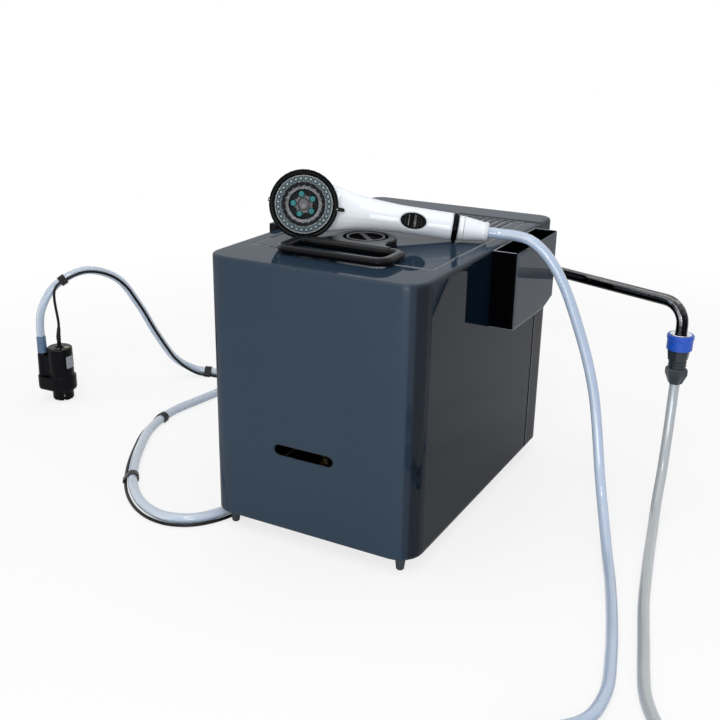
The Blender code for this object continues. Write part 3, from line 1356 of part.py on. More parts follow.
def make_pump_body(frame):
    low = STRAINER_H + GAP + BASE_H + GAP
    r = BODY_R
    inner = r - BODY_WALL
    profile = [
        (inner, low), (r, low), (r, BODY_TOP - 0.0015), (r - 0.0015, BODY_TOP), (0, BODY_TOP),
        (0, BODY_TOP - 0.0025), (inner, BODY_TOP - 0.0025)
    ]
    bm = bmesh.new()
    add_cup(bm, profile, 24)
    body = add_mesh("pump_body", bm, finish("pump_plastic", BLACK, 0.35), frame)
    column = lathe(
        [(0, low), (COLUMN_R + 0.0006, low), (COLUMN_R, COLUMN_TOP - 0.002), (COLUMN_R - 0.001, COLUMN_TOP),
         (0, COLUMN_TOP)], 16, (-OUTLET_OFFSET, 0, 0)
    )
    combine(body, add_mesh("body_column", column, None, frame), "UNION")
    outline = [(-OUTLET_OFFSET, COLUMN_R - 0.0006), (-OUTLET_OFFSET, 0.0006 - COLUMN_R)]
    outline += arc(0, 0, r - 0.0008, 218, 142, 8)
    web = prism(outline, low + 0.0002, COLUMN_TOP - 0.003)
    combine(body, add_mesh("body_web", web, None, frame), "UNION")
    boot = lathe(
        [(0, BODY_TOP - 0.001), (0.0062, BODY_TOP - 0.001), (0.0062, BODY_TOP + 0.0012), (0.0036, BODY_TOP + 0.0018),
         (0.0028, BODY_TOP + BOOT_H), (0, BODY_TOP + BOOT_H)], 14
    )
    combine(body, add_mesh("body_boot", boot, None, frame), "UNION")


def add_cup(bm, profile, steps):
    """A cup that is closed on top: its two pole points belong to one wall, outside and inside."""
    rings = []
    for radius, height in profile:
        if radius < 1e-7:
            rings.append([bm.verts.new((0, 0, height))])
        else:
            rings.append([
                bm.verts.new((
                    radius * math.cos(2 * math.pi * i / steps), radius * math.sin(2 * math.pi * i / steps), height
                )) for i in range(steps)
            ])
    count = len(rings)
    for k in range(count):
        a = rings[k]
        b = rings[(k + 1) % count]
        if len(a) == 1 and len(b) == 1:
            continue
        for i in range(steps):
            j = (i + 1) % steps
            face = list(dict.fromkeys([a[i % len(a)], a[j % len(a)], b[j % len(b)], b[i % len(b)]]))
            if len(face) > 2:
                bm.faces.new(face)


def make_pump_motor(frame):
    low = STRAINER_H + GAP + BASE_H + 2 * GAP
    r = BODY_R - BODY_WALL - 0.0004
    top = BODY_TOP - 0.0025 - GAP
    hole = SHAFT_R + GAP
    profile = [(hole, low), (r, low), (r, top), (hole, top)]
    add_mesh("pump_motor", lathe(profile, 24), finish("motor_steel", STEEL, 0.4, 0.9), frame)


def make_outlet_sleeve(frame):
    low = COLUMN_TOP + GAP
    high = low + SLEEVE_H
    r = SLEEVE_R
    profile = [(0, low), (r, low), (r, low + SLEEVE_H * 0.45)]
    for i in range(3):
        z = low + SLEEVE_H * (0.50 + 0.12 * i)
        profile += [(r - 0.0007, z), (r, z + 0.0008), (r, z + 0.0020)]
    profile += [(r - 0.0004, high), (0, high)]
    add_mesh("outlet_sleeve", lathe(profile, 14, (-OUTLET_OFFSET, 0, 0)), finish("sleeve_rubber", SLEEVE_BLUE, 0.4),
             frame)


# ---- services at the rear


def make_water_inlet(root):
    y = REAR_Y + WATER_IN_BEHIND
    r = WATER_IN_R
    bm = rod(r, REAR_Y - 0.008, y, 16, (WATER_IN_X, 0, WATER_IN_Z), "Y")
    inlet = add_mesh("water_inlet", bm, finish("inlet_plastic", BLACK, 0.4), root)
    flange = REAR_Y + GAP
    plate = lathe([(0, flange), (0.012, flange), (0.012, flange + 0.003), (0, flange + 0.003)], 16,
                  (WATER_IN_X, 0, WATER_IN_Z), "Y")
    combine(inlet, add_mesh("inlet_flange", plate, None, root), "UNION")
    profile = [(0, WATER_IN_END_Z), (r - 0.001, WATER_IN_END_Z), (r, WATER_IN_END_Z + 0.003)]
    for i in range(3):
        z = WATER_IN_END_Z + 0.004 + 0.005 * i
        profile += [(r - 0.0008, z), (r + 0.0004, z + 0.004)]
    profile += [(r + 0.001, WATER_IN_Z - 0.006), (r + 0.001, WATER_IN_Z + 0.004), (r - 0.003, WATER_IN_Z + 0.0085),
                (0, WATER_IN_Z + 0.009)]
    spigot = lathe(profile, 16, (WATER_IN_X, y, 0))
    combine(inlet, add_mesh("inlet_spigot", spigot, None, root), "UNION")


def make_gas_inlet(root):
    inner = REAR_Y - 0.008
    flange = REAR_Y + GAP
    tip = REAR_Y + 0.028
    profile = [(0, inner), (0.005, inner), (0.005, flange), (0.009, flange), (0.009, flange + 0.007),
               (0.0045, flange + 0.0075)]
    for i in range(3):
        y = flange + 0.010 + 0.005 * i
        profile += [(0.0044, y), (0.0056, y + 0.001), (0.0044, y + 0.005)]
    profile += [(0.0036, tip), (0, tip)]
    bm = lathe(profile, 12, (GAS_IN_X, 0, GAS_IN_Z), "Y")
    return add_mesh("gas_inlet", bm, finish("gas_brass", BRASS, 0.3, 0.9), root)


def make_dc_socket(root):
    inner = REAR_Y - 0.010
    flange = REAR_Y + GAP
    profile = [(0, inner), (0.005, inner), (0.005, flange), (0.0068, flange), (0.0064, flange + 0.0018),
               (0, flange + 0.0018)]
    add_mesh("dc_socket", lathe(profile, 14, (DC_X, 0, DC_Z), "Y"), finish("socket_plastic", BLACK, 0.45), root)


def make_dc_plug(root):
    start = REAR_Y + 2 * GAP + 0.0018
    r = DC_PLUG_R
    end = start + DC_PLUG_LENGTH
    profile = [(0, start), (r, start), (r, start + 0.012), (r - 0.0012, start + 0.0135), (r - 0.002, end), (0, end)]
    add_mesh("dc_plug", lathe(profile, 14, (DC_X, 0, DC_Z), "Y"), finish("plug_plastic", BLACK, 0.45), root)
    return Vector((DC_X, end + GAP, DC_Z))


# ---- works inside


def make_gas_valve(root):
    high = TOP_Z - PANEL_THICK - GAP
    low = high - VALVE_HEIGHT
    r = VALVE_R
    profile = [(0, low), (r - 0.004, low), (r - 0.004, low + 0.006), (r, low + 0.008), (r, high - 0.010),
               (r - 0.005, high - 0.006), (r - 0.005, high - 0.0035), (r + 0.002, high - 0.003),
               (r + 0.002, high), (SPINDLE_R + 0.0006, high), (SPINDLE_R + 0.0006, high - 0.008),
               (0, high - 0.008)]
    add_mesh("gas_valve", lathe(profile, 20, (HANDLE_X, KNOB_Y, 0)), finish("valve_brass", BRASS, 0.35, 0.9), root)


def make_burner(root):
    """Tray with upright burner bars and two folded legs."""
    half = CHAMBER_HALF_WIDTH
    tray = BURNER_TRAY_Z
    deck = tray + BURNER_TRAY_H
    low = INNER_FLOOR + GAP
    outline = [(-half, low), (-half + 0.002, low), (-half + 0.002, tray), (half - 0.002, tray), (half - 0.002, low),
               (half, low), (half, deck)]
    pitch = 2 * (half - 0.010) / BURNER_BARS
    for i in range(BURNER_BARS):
        x = half - 0.010 - (i + 0.5) * pitch
        w = BURNER_BAR_WIDTH / 2
        outline += [(x + w, deck), (x + w, deck + BURNER_BAR_H), (x - w, deck + BURNER_BAR_H), (x - w, deck)]
    outline += [(-half, deck)]
    bm = prism(outline, CHAMBER_FRONT_Y + 0.004, CHAMBER_REAR_Y - 0.004, "Y")
    add_mesh("burner", bm, finish("burner_steel", STEEL, 0.5, 0.8), root, smooth=False)


def make_chamber(root):
    low = BURNER_TRAY_Z + BURNER_TRAY_H + GAP
    half = CHAMBER_HALF_WIDTH
    s = CHAMBER_SHEET
    bm = box(-half, half, CHAMBER_FRONT_Y, CHAMBER_REAR_Y, low, CHAMBER_TOP_Z)
    chamber = add_mesh("combustion_chamber", bm, finish("chamber_copper", COPPER, 0.4, 0.9), root, smooth=False)
    cuts = box(-half + s, half - s, CHAMBER_FRONT_Y + s, CHAMBER_REAR_Y - s, low - 0.01, CHAMBER_TOP_Z + 0.01)
    combine(chamber, add_mesh("chamber_room", cuts, None, root), "DIFFERENCE")
    hole = rod(0.002, CHAMBER_FRONT_Y - 0.01, CHAMBER_FRONT_Y + 0.008, 8, (0.040, 0, 0.105), "Y")
    combine(chamber, add_mesh("chamber_hole", hole, None, root), "DIFFERENCE")


def make_exchanger(root):
    """Finned block: the spine stands at the front and the fins run back from it."""
    half = CHAMBER_HALF_WIDTH
    spine = CHAMBER_FRONT_Y + 0.004
    rear = CHAMBER_REAR_Y
    pitch = (2 * half - EXCHANGER_FIN) / (EXCHANGER_FINS - 1)
    points = []
    for i in range(EXCHANGER_FINS):
        right = half - i * pitch
        left = right - EXCHANGER_FIN
        points += [(right, spine), (right, rear), (left, rear), (left, spine)]
    outline = [(-half, CHAMBER_FRONT_Y), (half, CHAMBER_FRONT_Y)] + points[1:-1]
    low = CHAMBER_TOP_Z + GAP
    bm = prism(outline, low, low + EXCHANGER_H)
    return add_mesh("heat_exchanger", bm, finish("exchanger_copper", COPPER, 0.35, 0.9), root, smooth=False)


def make_flue_hood(root):
    low = CHAMBER_TOP_Z + EXCHANGER_H + 2 * GAP
    high = TOP_Z - PANEL_THICK - GAP
    s = CHAMBER_SHEET
    span = (LOUVRE_COUNT - 1) / 2 * LOUVRE_PITCH + LOUVRE_WIDTH / 2 + 0.003
    rear = PANEL_REAR_Y - LOUVRE_REAR_MARGIN + 0.0030
    front = rear - LOUVRE_LENGTH - 0.006
    wide = (-CHAMBER_HALF_WIDTH, CHAMBER_HALF_WIDTH, CHAMBER_FRONT_Y, CHAMBER_REAR_Y)
    narrow = (-span - s, span + s, front - s, rear + s)
    bm = bmesh.new()
    loops = []
    for inset in (0, s):
        for (x0, x1, y0, y1), z in ((wide, low), (narrow, high)):
            corners = [(x0 + inset, y0 + inset), (x1 - inset, y0 + inset), (x1 - inset, y1 - inset),
                       (x0 + inset, y1 - inset)]
            loops.append([bm.verts.new((x, y, z)) for x, y in corners])
    for a, b in ((0, 1), (1, 3), (3, 2), (2, 0)):
        for i in range(4):
            j = (i + 1) % 4
            bm.faces.new((loops[a][i], loops[a][j], loops[b][j], loops[b][i]))
    add_mesh("flue_hood", bm, finish("hood_steel", STEEL, 0.4, 0.8), root, smooth=False)


def make_manifold(root):
    rear = CHAMBER_FRONT_Y - 0.005
    low = BURNER_TRAY_Z + 0.006
    half = CHAMBER_HALF_WIDTH - 0.008
    bm = box(-half, half, rear - 0.010, rear, low, low + 0.010)
    manifold = add_mesh("gas_manifold", bm, finish("manifold_brass", BRASS, 0.4, 0.9), root, smooth=False)
    pitch = 2 * (CHAMBER_HALF_WIDTH - 0.010) / BURNER_BARS
    jets = bmesh.new()
    for i in range(BURNER_BARS):
        x = CHAMBER_HALF_WIDTH - 0.010 - (i + 0.5) * pitch
        add_lathe(jets, [(0, rear - 0.002), (0.002, rear - 0.002), (0.0014, CHAMBER_FRONT_Y - GAP),
                         (0, CHAMBER_FRONT_Y - GAP)], 6, (x, 0, low + 0.005), "Y")
    return combine(manifold, add_mesh("manifold_jets", jets, None, root), "UNION")


def make_electrode(root):
    seat = CHAMBER_FRONT_Y - GAP
    profile = [(0, seat - 0.012), (0.0016, seat - 0.012), (0.0032, seat - 0.009), (0.0032, seat), (0.0012, seat),
               (0.0012, seat + 0.022), (0, seat + 0.022)]
    add_mesh("spark_electrode", lathe(profile, 10, (0.040, 0, 0.105), "Y"), finish("electrode_ceramic", WHITE, 0.4),
             root)


def make_boxes(root):
    low = INNER_FLOOR + GAP
    module = box(0.050, 0.095, -0.050, 0.000, low, low + 0.026)
    round_edges(module, lambda p: p.z > low + 0.02, 0.002, 1)
    add_mesh("spark_module", module, finish("module_plastic", BLACK, 0.5), root)
    battery = box(-0.105, 0.010, FRONT_Y + 0.033, FRONT_Y + 0.103, low, low + 0.022)
    round_edges(battery, lambda p: p.z > low + 0.02, 0.002, 1)
    add_mesh("battery_pack", battery, finish("battery_plastic", GREY, 0.5), root)


def make_water_valve(root):
    low = INNER_FLOOR + GAP
    r = WATER_VALVE_R
    h = WATER_VALVE_H
    profile = [(0, low), (r - 0.004, low), (r - 0.004, low + 0.012), (r, low + 0.014), (r, low + 0.024),
               (r - 0.002, low + 0.026), (r - 0.002, low + h), (0, low + h)]
    bm = lathe(profile, 20, (WATER_VALVE_X, WATER_VALVE_Y, 0))
    return add_mesh("water_valve", bm, finish("water_brass", BRASS, 0.35, 0.9), root)


def add_pipe(name, points, bend, radius, frame):
    """A bent metal pipe as a mesh, to be joined with the piece it is brazed to."""
    path = filleted(points, bend, 3)
    ahead = (path[1] - path[0]).normalized()
    side = ahead.orthogonal().normalized()
    rings = []
    for i, at in enumerate(path):
        before = (at - path[i - 1]).normalized() if i > 0 else ahead
        after = (path[i + 1] - at).normalized() if i < len(path) - 1 else before
        along = (before + after).normalized()
        side = (side - along * side.dot(along)).normalized()
        other = along.cross(side)
        rings.append([at + side * u + other * v for u, v in circle(0, 0, radius, 8)])
    bm = bmesh.new()
    add_loft(bm, rings)
    return add_mesh(name, bm, None, frame)


def make_pipes(root, water_valve, exchanger, manifold, gas_inlet):
    valve_top = INNER_FLOOR + GAP + WATER_VALVE_H
    back = REAR_Y - 0.008 - GAP
    lane = SIDE_LANE
    far = REAR_Y - 0.030
    points = [(WATER_IN_X, back, WATER_IN_Z), (WATER_IN_X, far, WATER_IN_Z), (-lane, far, WATER_IN_Z),
              (-lane, WATER_VALVE_Y, WATER_IN_Z), (-lane, WATER_VALVE_Y, valve_top - 0.002)]
    combine(water_valve, add_pipe("inlet_run", points, 0.010, PIPE_R, root), "UNION")
    mid = CHAMBER_TOP_Z + GAP + EXCHANGER_H / 2
    x = WATER_VALVE_X + 0.012
    points = [(x, WATER_VALVE_Y, valve_top + GAP), (x, WATER_VALVE_Y, mid), (x, CHAMBER_FRONT_Y + 0.002, mid)]
    combine(exchanger, add_pipe("cold_run", points, 0.012, PIPE_R, root), "UNION")
    x = CHAMBER_HALF_WIDTH - EXCHANGER_FIN / 2 - 0.0005
    points = [(x, CHAMBER_REAR_Y - 0.006, mid), (x, far + 0.004, mid), (SPOUT_X, far + 0.004, OUTLET_Z),
              (SPOUT_X, back, OUTLET_Z)]
    combine(exchanger, add_pipe("hot_run", points, 0.008, PIPE_R, root), "UNION")
    port = TOP_Z - PANEL_THICK - GAP - VALVE_HEIGHT + 0.018
    side = HANDLE_X + VALVE_R + GAP
    points = [(GAS_IN_X, back - 0.001 + GAP + 0.002, GAS_IN_Z), (GAS_IN_X, far, GAS_IN_Z), (lane, far, GAS_IN_Z),
              (lane, KNOB_Y, GAS_IN_Z), (lane, KNOB_Y, port), (side, KNOB_Y, port)]
    combine(gas_inlet, add_pipe("gas_run", points, 0.010, GAS_PIPE_R, root), "UNION")
    jet = BURNER_TRAY_Z + 0.011
    start = KNOB_Y + VALVE_R + GAP
    front = CHAMBER_FRONT_Y - 0.015 + 0.002
    points = [(HANDLE_X, start, port), (HANDLE_X, -0.030, port), (HANDLE_X, -0.030, jet), (HANDLE_X, front, jet)]
    combine(manifold, add_pipe("feed_run", points, 0.010, GAS_PIPE_R, root), "UNION")


CORD_NAMES = (
    "shower_hose", "hose_coil", "return_hose", "pump_hose", "pump_cable", "dc_plug",
    "cable_clip_1", "cable_clip_2", "cable_clip_3", "cable_clip_4",
    "pump_body", "pump_base", "pump_strainer", "pump_impeller", "pump_motor", "outlet_sleeve",
)


def centre_of_object():
    """Middle in plan of all that stays on the heater, without the hoses and what hangs on them."""
    graph = bpy.context.evaluated_depsgraph_get()
    low = Vector((1e9, 1e9, 1e9))
    high = -low
    for item in bpy.data.objects:
        if item.type == "EMPTY" or item.hide_render or item.name in CORD_NAMES:
            continue
        shown = item.evaluated_get(graph)
        mesh = shown.to_mesh()
        for vertex in mesh.vertices:
            at = item.matrix_world @ vertex.co
            low = Vector(map(min, low, at))
            high = Vector(map(max, high, at))
        shown.to_mesh_clear()
    return (low + high) / 2


def build():
    clear_scene()
    root = empty("heater")
    make_front_shell(root)
    make_top_plate(root)
    make_rear_cover(root)
    make_base_plate(root)
    make_feet(root)
    make_cover_screws(root)
    make_side_pocket(root)
    make_side_bracket(root)
    make_pocket_screws(root)

    make_handle_hub(root)
    make_handle_bail(empty("handle_axis", root, (HANDLE_X, HANDLE_REAR_Y, HANDLE_Z)))
    knob_z = TOP_Z + 2 * GAP + HUB_FLOOR
    knob = empty("knob_axis", root, (HANDLE_X, KNOB_Y, knob_z))
    make_control_knob(knob)
    make_knob_spindle(knob, knob_z)

    make_outlet_elbow(root)
    make_spout_nut(root)
    spout = empty("spout_axis", root, (SPOUT_X, SPOUT_Y, 0), Matrix.Rotation(math.radians(SPOUT_ANGLE), 3, "Z"))
    make_spout_pipe(spout)
    make_connector_body(spout)
    make_connector_nut(spout)
    make_connector_collar(empty("collar_axis", spout, (SPOUT_REACH, 0, COLLAR_BOTTOM_Z)))

    face, turn, neck, turn2, reach = shower_frames()
    make_shower_body(root, face, turn, neck, turn2, reach)
    ring = empty("selector_axis", root, face, turn)
    make_shower_ring(ring)
    still = empty("face_frame", root, face, turn)
    make_nozzle_ring(still)
    make_spray_disc(still)
    grip = empty("grip_frame", root, neck, turn2)
    make_pause_button(empty("button_axis", grip, (BUTTON_STATION, 0, 0)))
    make_shower_band(grip, reach)
    make_hose_nut(grip, reach)

    turn_pump = Matrix.Rotation(math.radians(PUMP_TURN), 3, "Z")
    pump = empty("pump_frame", root, (PUMP_X, PUMP_Y, 0), turn_pump)
    make_strainer(pump)
    make_pump_base(pump)
    make_impeller(empty("impeller_axis", pump, (0, 0, STRAINER_H + GAP + 0.003)))
    make_pump_body(pump)
    make_pump_motor(pump)
    make_outlet_sleeve(pump)

    make_water_inlet(root)
    gas_inlet = make_gas_inlet(root)
    make_dc_socket(root)
    plug_end = make_dc_plug(root)

    make_gas_valve(root)
    make_burner(root)
    make_chamber(root)
    exchanger = make_exchanger(root)
    make_flue_hood(root)
    manifold = make_manifold(root)
    make_electrode(root)
    make_boxes(root)
    water_valve = make_water_valve(root)
    make_pipes(root, water_valve, exchanger, manifold, gas_inlet)

    hose_skin = finish("hose_clear", HOSE_TINT, 0.3)
    ahead = turn2 @ Vector((1, 0, 0))
    nut_end = neck + ahead * (reach + SHOWER_BAND_W / 2 + GAP + HOSE_NUT_LENGTH + GAP)
    shower_hose = shower_hose_path(nut_end, ahead)
    add_tube("shower_hose", shower_hose, HOSE_R, hose_skin, root, 2)
    coil = coil_path()
    add_tube("hose_coil", coil, HOSE_R, hose_skin, root, 1)
    spin = Matrix.Rotation(math.radians(SPOUT_ANGLE), 3, "Z")
    tip = Vector((SPOUT_X, SPOUT_Y, 0)) + spin @ Vector((SPOUT_REACH, 0, NUT_BOTTOM_Z - GAP))
    return_hose = return_hose_path(tip)
    add_tube("return_hose", return_hose, HOSE_R, hose_skin, root, 2)

    pump_at = Vector((PUMP_X, PUMP_Y, 0))
    barb = pump_at + turn_pump @ Vector((-OUTLET_OFFSET, 0, COLUMN_TOP + GAP + SLEEVE_H + GAP))
    inlet = Vector((WATER_IN_X, REAR_Y + WATER_IN_BEHIND, WATER_IN_END_Z - GAP))
    pump_hose = pump_hose_path(barb, inlet)
    add_tube("pump_hose", pump_hose, HOSE_R, hose_skin, root, 2)
    lid = pump_at + Vector((0, 0, BODY_TOP + BOOT_H + GAP))
    cable = pump_cable_path(lid, pump_hose, plug_end)
    add_tube("pump_cable", cable, CABLE_R, finish("cable_rubber", BLACK, 0.5), root, 2)
    make_cable_clips(root, pump_hose)

    print("shower hose with coil:", round(length_of(shower_hose) + length_of(coil) + length_of(return_hose), 4))
    print("pump hose:", round(length_of(pump_hose), 4), "pump cable:", round(length_of(cable), 4))
    print("coil least gap to itself:", round(least_gap(coil, HOSE_R, 0.08), 5))

    bpy.context.view_layer.update()
    middle = centre_of_object()
    root.location = (-middle.x, -middle.y, 0)


build()
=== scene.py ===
"""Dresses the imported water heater: camera, cords, materials and the fine parts of each piece."""
import math

import bmesh
import bpy
from mathutils import Matrix, Vector


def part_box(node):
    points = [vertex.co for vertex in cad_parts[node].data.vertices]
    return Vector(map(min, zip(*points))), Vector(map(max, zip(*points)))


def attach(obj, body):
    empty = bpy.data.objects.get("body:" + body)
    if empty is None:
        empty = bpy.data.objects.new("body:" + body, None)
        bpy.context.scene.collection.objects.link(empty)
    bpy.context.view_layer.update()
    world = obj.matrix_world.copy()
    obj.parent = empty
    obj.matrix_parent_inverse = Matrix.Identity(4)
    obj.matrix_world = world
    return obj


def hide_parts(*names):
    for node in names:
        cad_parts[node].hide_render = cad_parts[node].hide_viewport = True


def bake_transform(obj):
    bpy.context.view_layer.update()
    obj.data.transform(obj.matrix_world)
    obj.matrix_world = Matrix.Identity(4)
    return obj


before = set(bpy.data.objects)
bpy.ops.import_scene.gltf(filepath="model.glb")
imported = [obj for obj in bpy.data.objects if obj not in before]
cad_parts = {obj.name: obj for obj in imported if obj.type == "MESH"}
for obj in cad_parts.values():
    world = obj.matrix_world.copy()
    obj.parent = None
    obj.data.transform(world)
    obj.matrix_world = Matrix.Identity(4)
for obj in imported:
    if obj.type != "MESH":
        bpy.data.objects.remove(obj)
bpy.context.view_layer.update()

# Sizes of the solids that the fine parts and the cords are fitted to.
FRONT_Y = -0.198
REAR_Y = 0.198
HALF_WIDTH = 0.128
TOP_Z = 0.320
SEAM_Y = 0.1472
PANEL_HALF_WIDTH = 0.1090
PANEL_FRONT_Y = -0.131
PANEL_REAR_Y = 0.1466
LOUVRE_COUNT = 21
LOUVRE_PITCH = 0.0094
POCKET_FRONT_Y = -0.015
POCKET_LENGTH = 0.136
LID_Z = 0.081
HOSE_R = 0.006
HOSE_REST = 0.0062
CABLE_R = 0.002
CABLE_REST = 0.0022

# The middle of the casing, in the row frame. Places below are written from it.
shell_low, shell_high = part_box("front_shell")
SHIFT = Vector(((shell_low.x + shell_high.x) / 2, shell_low.y - FRONT_Y, 0.0))


# ---- camera

def look_through():
    """The photograph's point of view."""
    right = Vector((0.8781, 0.4782, 0.0153))
    ahead = Vector((-0.4455, 0.8288, -0.3384)).normalized()
    right = (right - ahead * right.dot(ahead)).normalized()
    up = right.cross(ahead)
    data = bpy.data.cameras.new("camera")
    data.lens = 50.43
    data.sensor_width = 36.0
    data.clip_end = 50.0
    camera = bpy.data.objects.new("camera", data)
    camera.matrix_world = Matrix((right, up, -ahead)).transposed().to_4x4()
    camera.location = Vector((0.5131, -1.0340, 0.5775)) + SHIFT
    bpy.context.scene.collection.objects.link(camera)
    bpy.context.scene.camera = camera


look_through()


# ---- materials

NOISE_LOW = 0.3
NOISE_HIGH = 0.7


def ranged(tree, value, start, end, low=0.0, high=1.0):
    """A value read from start to end as low to high."""
    node = tree.nodes.new("ShaderNodeMapRange")
    node.inputs["From Min"].default_value = start
    node.inputs["From Max"].default_value = end
    node.inputs["To Min"].default_value = low
    node.inputs["To Max"].default_value = high
    tree.links.new(value, node.inputs["Value"])
    return node.outputs["Result"]


class Look:
    """A Principled material whose colour, roughness and bump vary by procedural nodes."""

    def __init__(self, name, colour, roughness, metallic=0.0, specular=None):
        self.material = bpy.data.materials.new(name)
        self.material.use_nodes = True
        self.tree = self.material.node_tree
        self.shader = self.tree.nodes["Principled BSDF"]
        self.colour = colour
        self.set("Base Color", (*colour, 1.0))
        self.set("Roughness", roughness)
        self.set("Metallic", metallic)
        if specular is not None:
            self.set("Specular IOR Level", specular)
        self.roughness = roughness
        self.place = self.tree.nodes.new("ShaderNodeTexCoord")
        self.paint = None
        self.bump_out = None
        self.rounded = None

    def set(self, socket, value):
        self.shader.inputs[socket].default_value = value
        return self

    def link(self, out, socket):
        self.tree.links.new(out, self.shader.inputs[socket])
        return self

    def noise(self, scale, detail=3.0, stretch=(1, 1, 1)):
        mapping = self.tree.nodes.new("ShaderNodeMapping")
        mapping.inputs["Scale"].default_value = stretch
        self.tree.links.new(self.place.outputs["Object"], mapping.inputs["Vector"])
        node = self.tree.nodes.new("ShaderNodeTexNoise")
        node.inputs["Scale"].default_value = scale
        node.inputs["Detail"].default_value = detail
        self.tree.links.new(mapping.outputs["Vector"], node.inputs["Vector"])
        return node.outputs["Fac"]

    def ramp(self, value, stops):
        """Colours read along a value from (position, colour) pairs."""
        node = self.tree.nodes.new("ShaderNodeValToRGB")
        bar = node.color_ramp.elements
        for index, (position, colour) in enumerate(stops):
            stop = bar[index] if index < 2 else bar.new(position)
            stop.position = position
            stop.color = (*colour, 1.0)
        self.tree.links.new(value, node.inputs["Fac"])
        return node.outputs["Color"]

    def soften(self, radius):
        """Rounds the shading over edges and small flats."""
        node = self.tree.nodes.new("ShaderNodeBevel")
        node.samples = 8
        node.inputs["Radius"].default_value = radius
        self.rounded = node.outputs["Normal"]
        self.bump_out = self.rounded
        self.link(self.rounded, "Coat Normal")
        return self.link(self.rounded, "Normal")

    def along(self, direction, start, end, source="Object"):
        """0 before start and 1 past end, measured along a direction in the row frame."""
        dot = self.tree.nodes.new("ShaderNodeVectorMath")
        dot.operation = "DOT_PRODUCT"
        dot.inputs[1].default_value = direction
        self.tree.links.new(self.place.outputs[source], dot.inputs[0])
        return ranged(self.tree, dot.outputs["Value"], start, end)

    def facing(self, axis):
        """How far the surface faces along X, Y or Z of the part: 0.5 where it stands square to it."""
        parts = self.tree.nodes.new("ShaderNodeSeparateXYZ")
        normal = self.rounded if self.rounded is not None else self.place.outputs["Normal"]
        self.tree.links.new(normal, parts.inputs["Vector"])
        half = self.tree.nodes.new("ShaderNodeMath")
        half.operation = "MULTIPLY_ADD"
        half.inputs[1].default_value = 0.5
        half.inputs[2].default_value = 0.5
        self.tree.links.new(parts.outputs[axis], half.inputs[0])
        return half.outputs["Value"]

    def mixed(self, share, below, above, kind="MIX"):
        """One colour over another; either may be a colour or a socket."""
        node = self.tree.nodes.new("ShaderNodeMixRGB")
        node.blend_type = kind
        for name, what in (("Fac", share), ("Color1", below), ("Color2", above)):
            if isinstance(what, tuple):
                node.inputs[name].default_value = (*what, 1.0)
            elif isinstance(what, float):
                node.inputs[name].default_value = what
            else:
                self.tree.links.new(what, node.inputs[name])
        return node.outputs["Color"]

    def coloured(self, out):
        self.paint = out
        return self.link(out, "Base Color")

    def vary(self, scale, amount, stretch=(1, 1, 1)):
        """Slow colour variation about the base colour."""
        dark = (1 - amount,) * 3
        shade = self.ramp(self.noise(scale, 4.0, stretch), ((NOISE_LOW, dark), (NOISE_HIGH, (1.0, 1.0, 1.0))))
        base = self.paint if self.paint is not None else self.colour
        return self.link(self.mixed(1.0, base, shade, "MULTIPLY"), "Base Color")

    def smear(self, scale, amount, stretch=(1, 1, 1)):
        """Slow roughness variation, as from handling."""
        value = self.noise(scale, 4.0, stretch)
        low = max(0.0, self.roughness - amount)
        return self.link(ranged(self.tree, value, NOISE_LOW, NOISE_HIGH, low, self.roughness + amount), "Roughness")

    def grain(self, value, strength, depth):
        """Fine relief; several may be stacked."""
        node = self.tree.nodes.new("ShaderNodeBump")
        node.inputs["Strength"].default_value = strength
        node.inputs["Distance"].default_value = depth
        self.tree.links.new(value, node.inputs["Height"])
        if self.bump_out is not None:
            self.tree.links.new(self.bump_out, node.inputs["Normal"])
        self.bump_out = node.outputs["Normal"]
        return self.link(self.bump_out, "Normal")


NAVY = (0.023, 0.042, 0.068)
# Colour of the casing's sideways faces: a darker copy of NAVY, as painted shade.
SIDE_SHADE = (0.003, 0.007, 0.014)
COAT = 0.42
POCKET_COAT = 0.02


def painted(name):
    """The casing's clear-coated paint, with painted shade where it faces sideways."""
    look = Look(name, NAVY, 0.30, specular=0.0)
    look.set("Coat Weight", COAT).set("Coat Roughness", 0.03).soften(0.005)
    # Faces that point sideways take the darker colour as painted shade.
    side_shade = ((0.10, SIDE_SHADE), (0.30, NAVY), (0.70, NAVY), (0.90, SIDE_SHADE))
    look.coloured(look.ramp(look.facing("X"), side_shade))
    look.vary(6.0, 0.08).smear(14.0, 0.03)
    return look


def make_pocket_look():
    """Near black inside and at its ends, dark plastic darkened further as painted shade; a lighter copy of the
    casing's paint on its outer face as painted light; a painted highlight along its top edge and a painted reflection
    along its bottom edge.
    """
    low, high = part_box("side_pocket")
    look = painted("pocket_paint")
    # Dark plastic, darkened further as painted shade inside the pocket and at its ends.
    black = (0.0008, 0.0009, 0.0014)
    outer = look.along((1, 0, 0), high.x - 0.0012, high.x - 0.0008)
    # Pale top edge: a painted highlight.
    rim = look.along((0, 0, 1), high.z - 0.0004, high.z - 0.0002)
    # Grey bottom edge: a painted reflection.
    foot = look.along((0, 0, -1), -low.z - 0.0012, -low.z - 0.0006)
    # The outer face is a lighter copy of the casing's paint, as painted light.
    colour = look.mixed(outer, black, (0.055, 0.067, 0.082))
    colour = look.mixed(rim, colour, (0.42, 0.45, 0.48))
    colour = look.mixed(foot, colour, (0.16, 0.18, 0.21))
    look.coloured(colour).vary(6.0, 0.08)
    shine = look.tree.nodes.new("ShaderNodeMath")
    shine.operation = "MULTIPLY_ADD"
    shine.inputs[1].default_value = COAT - POCKET_COAT
    shine.inputs[2].default_value = POCKET_COAT
    look.tree.links.new(outer, shine.inputs[0])
    look.link(shine.outputs["Value"], "Coat Weight")
    look.grain(look.noise(420.0, 2.0), 0.05, 0.0004)
    return look.material


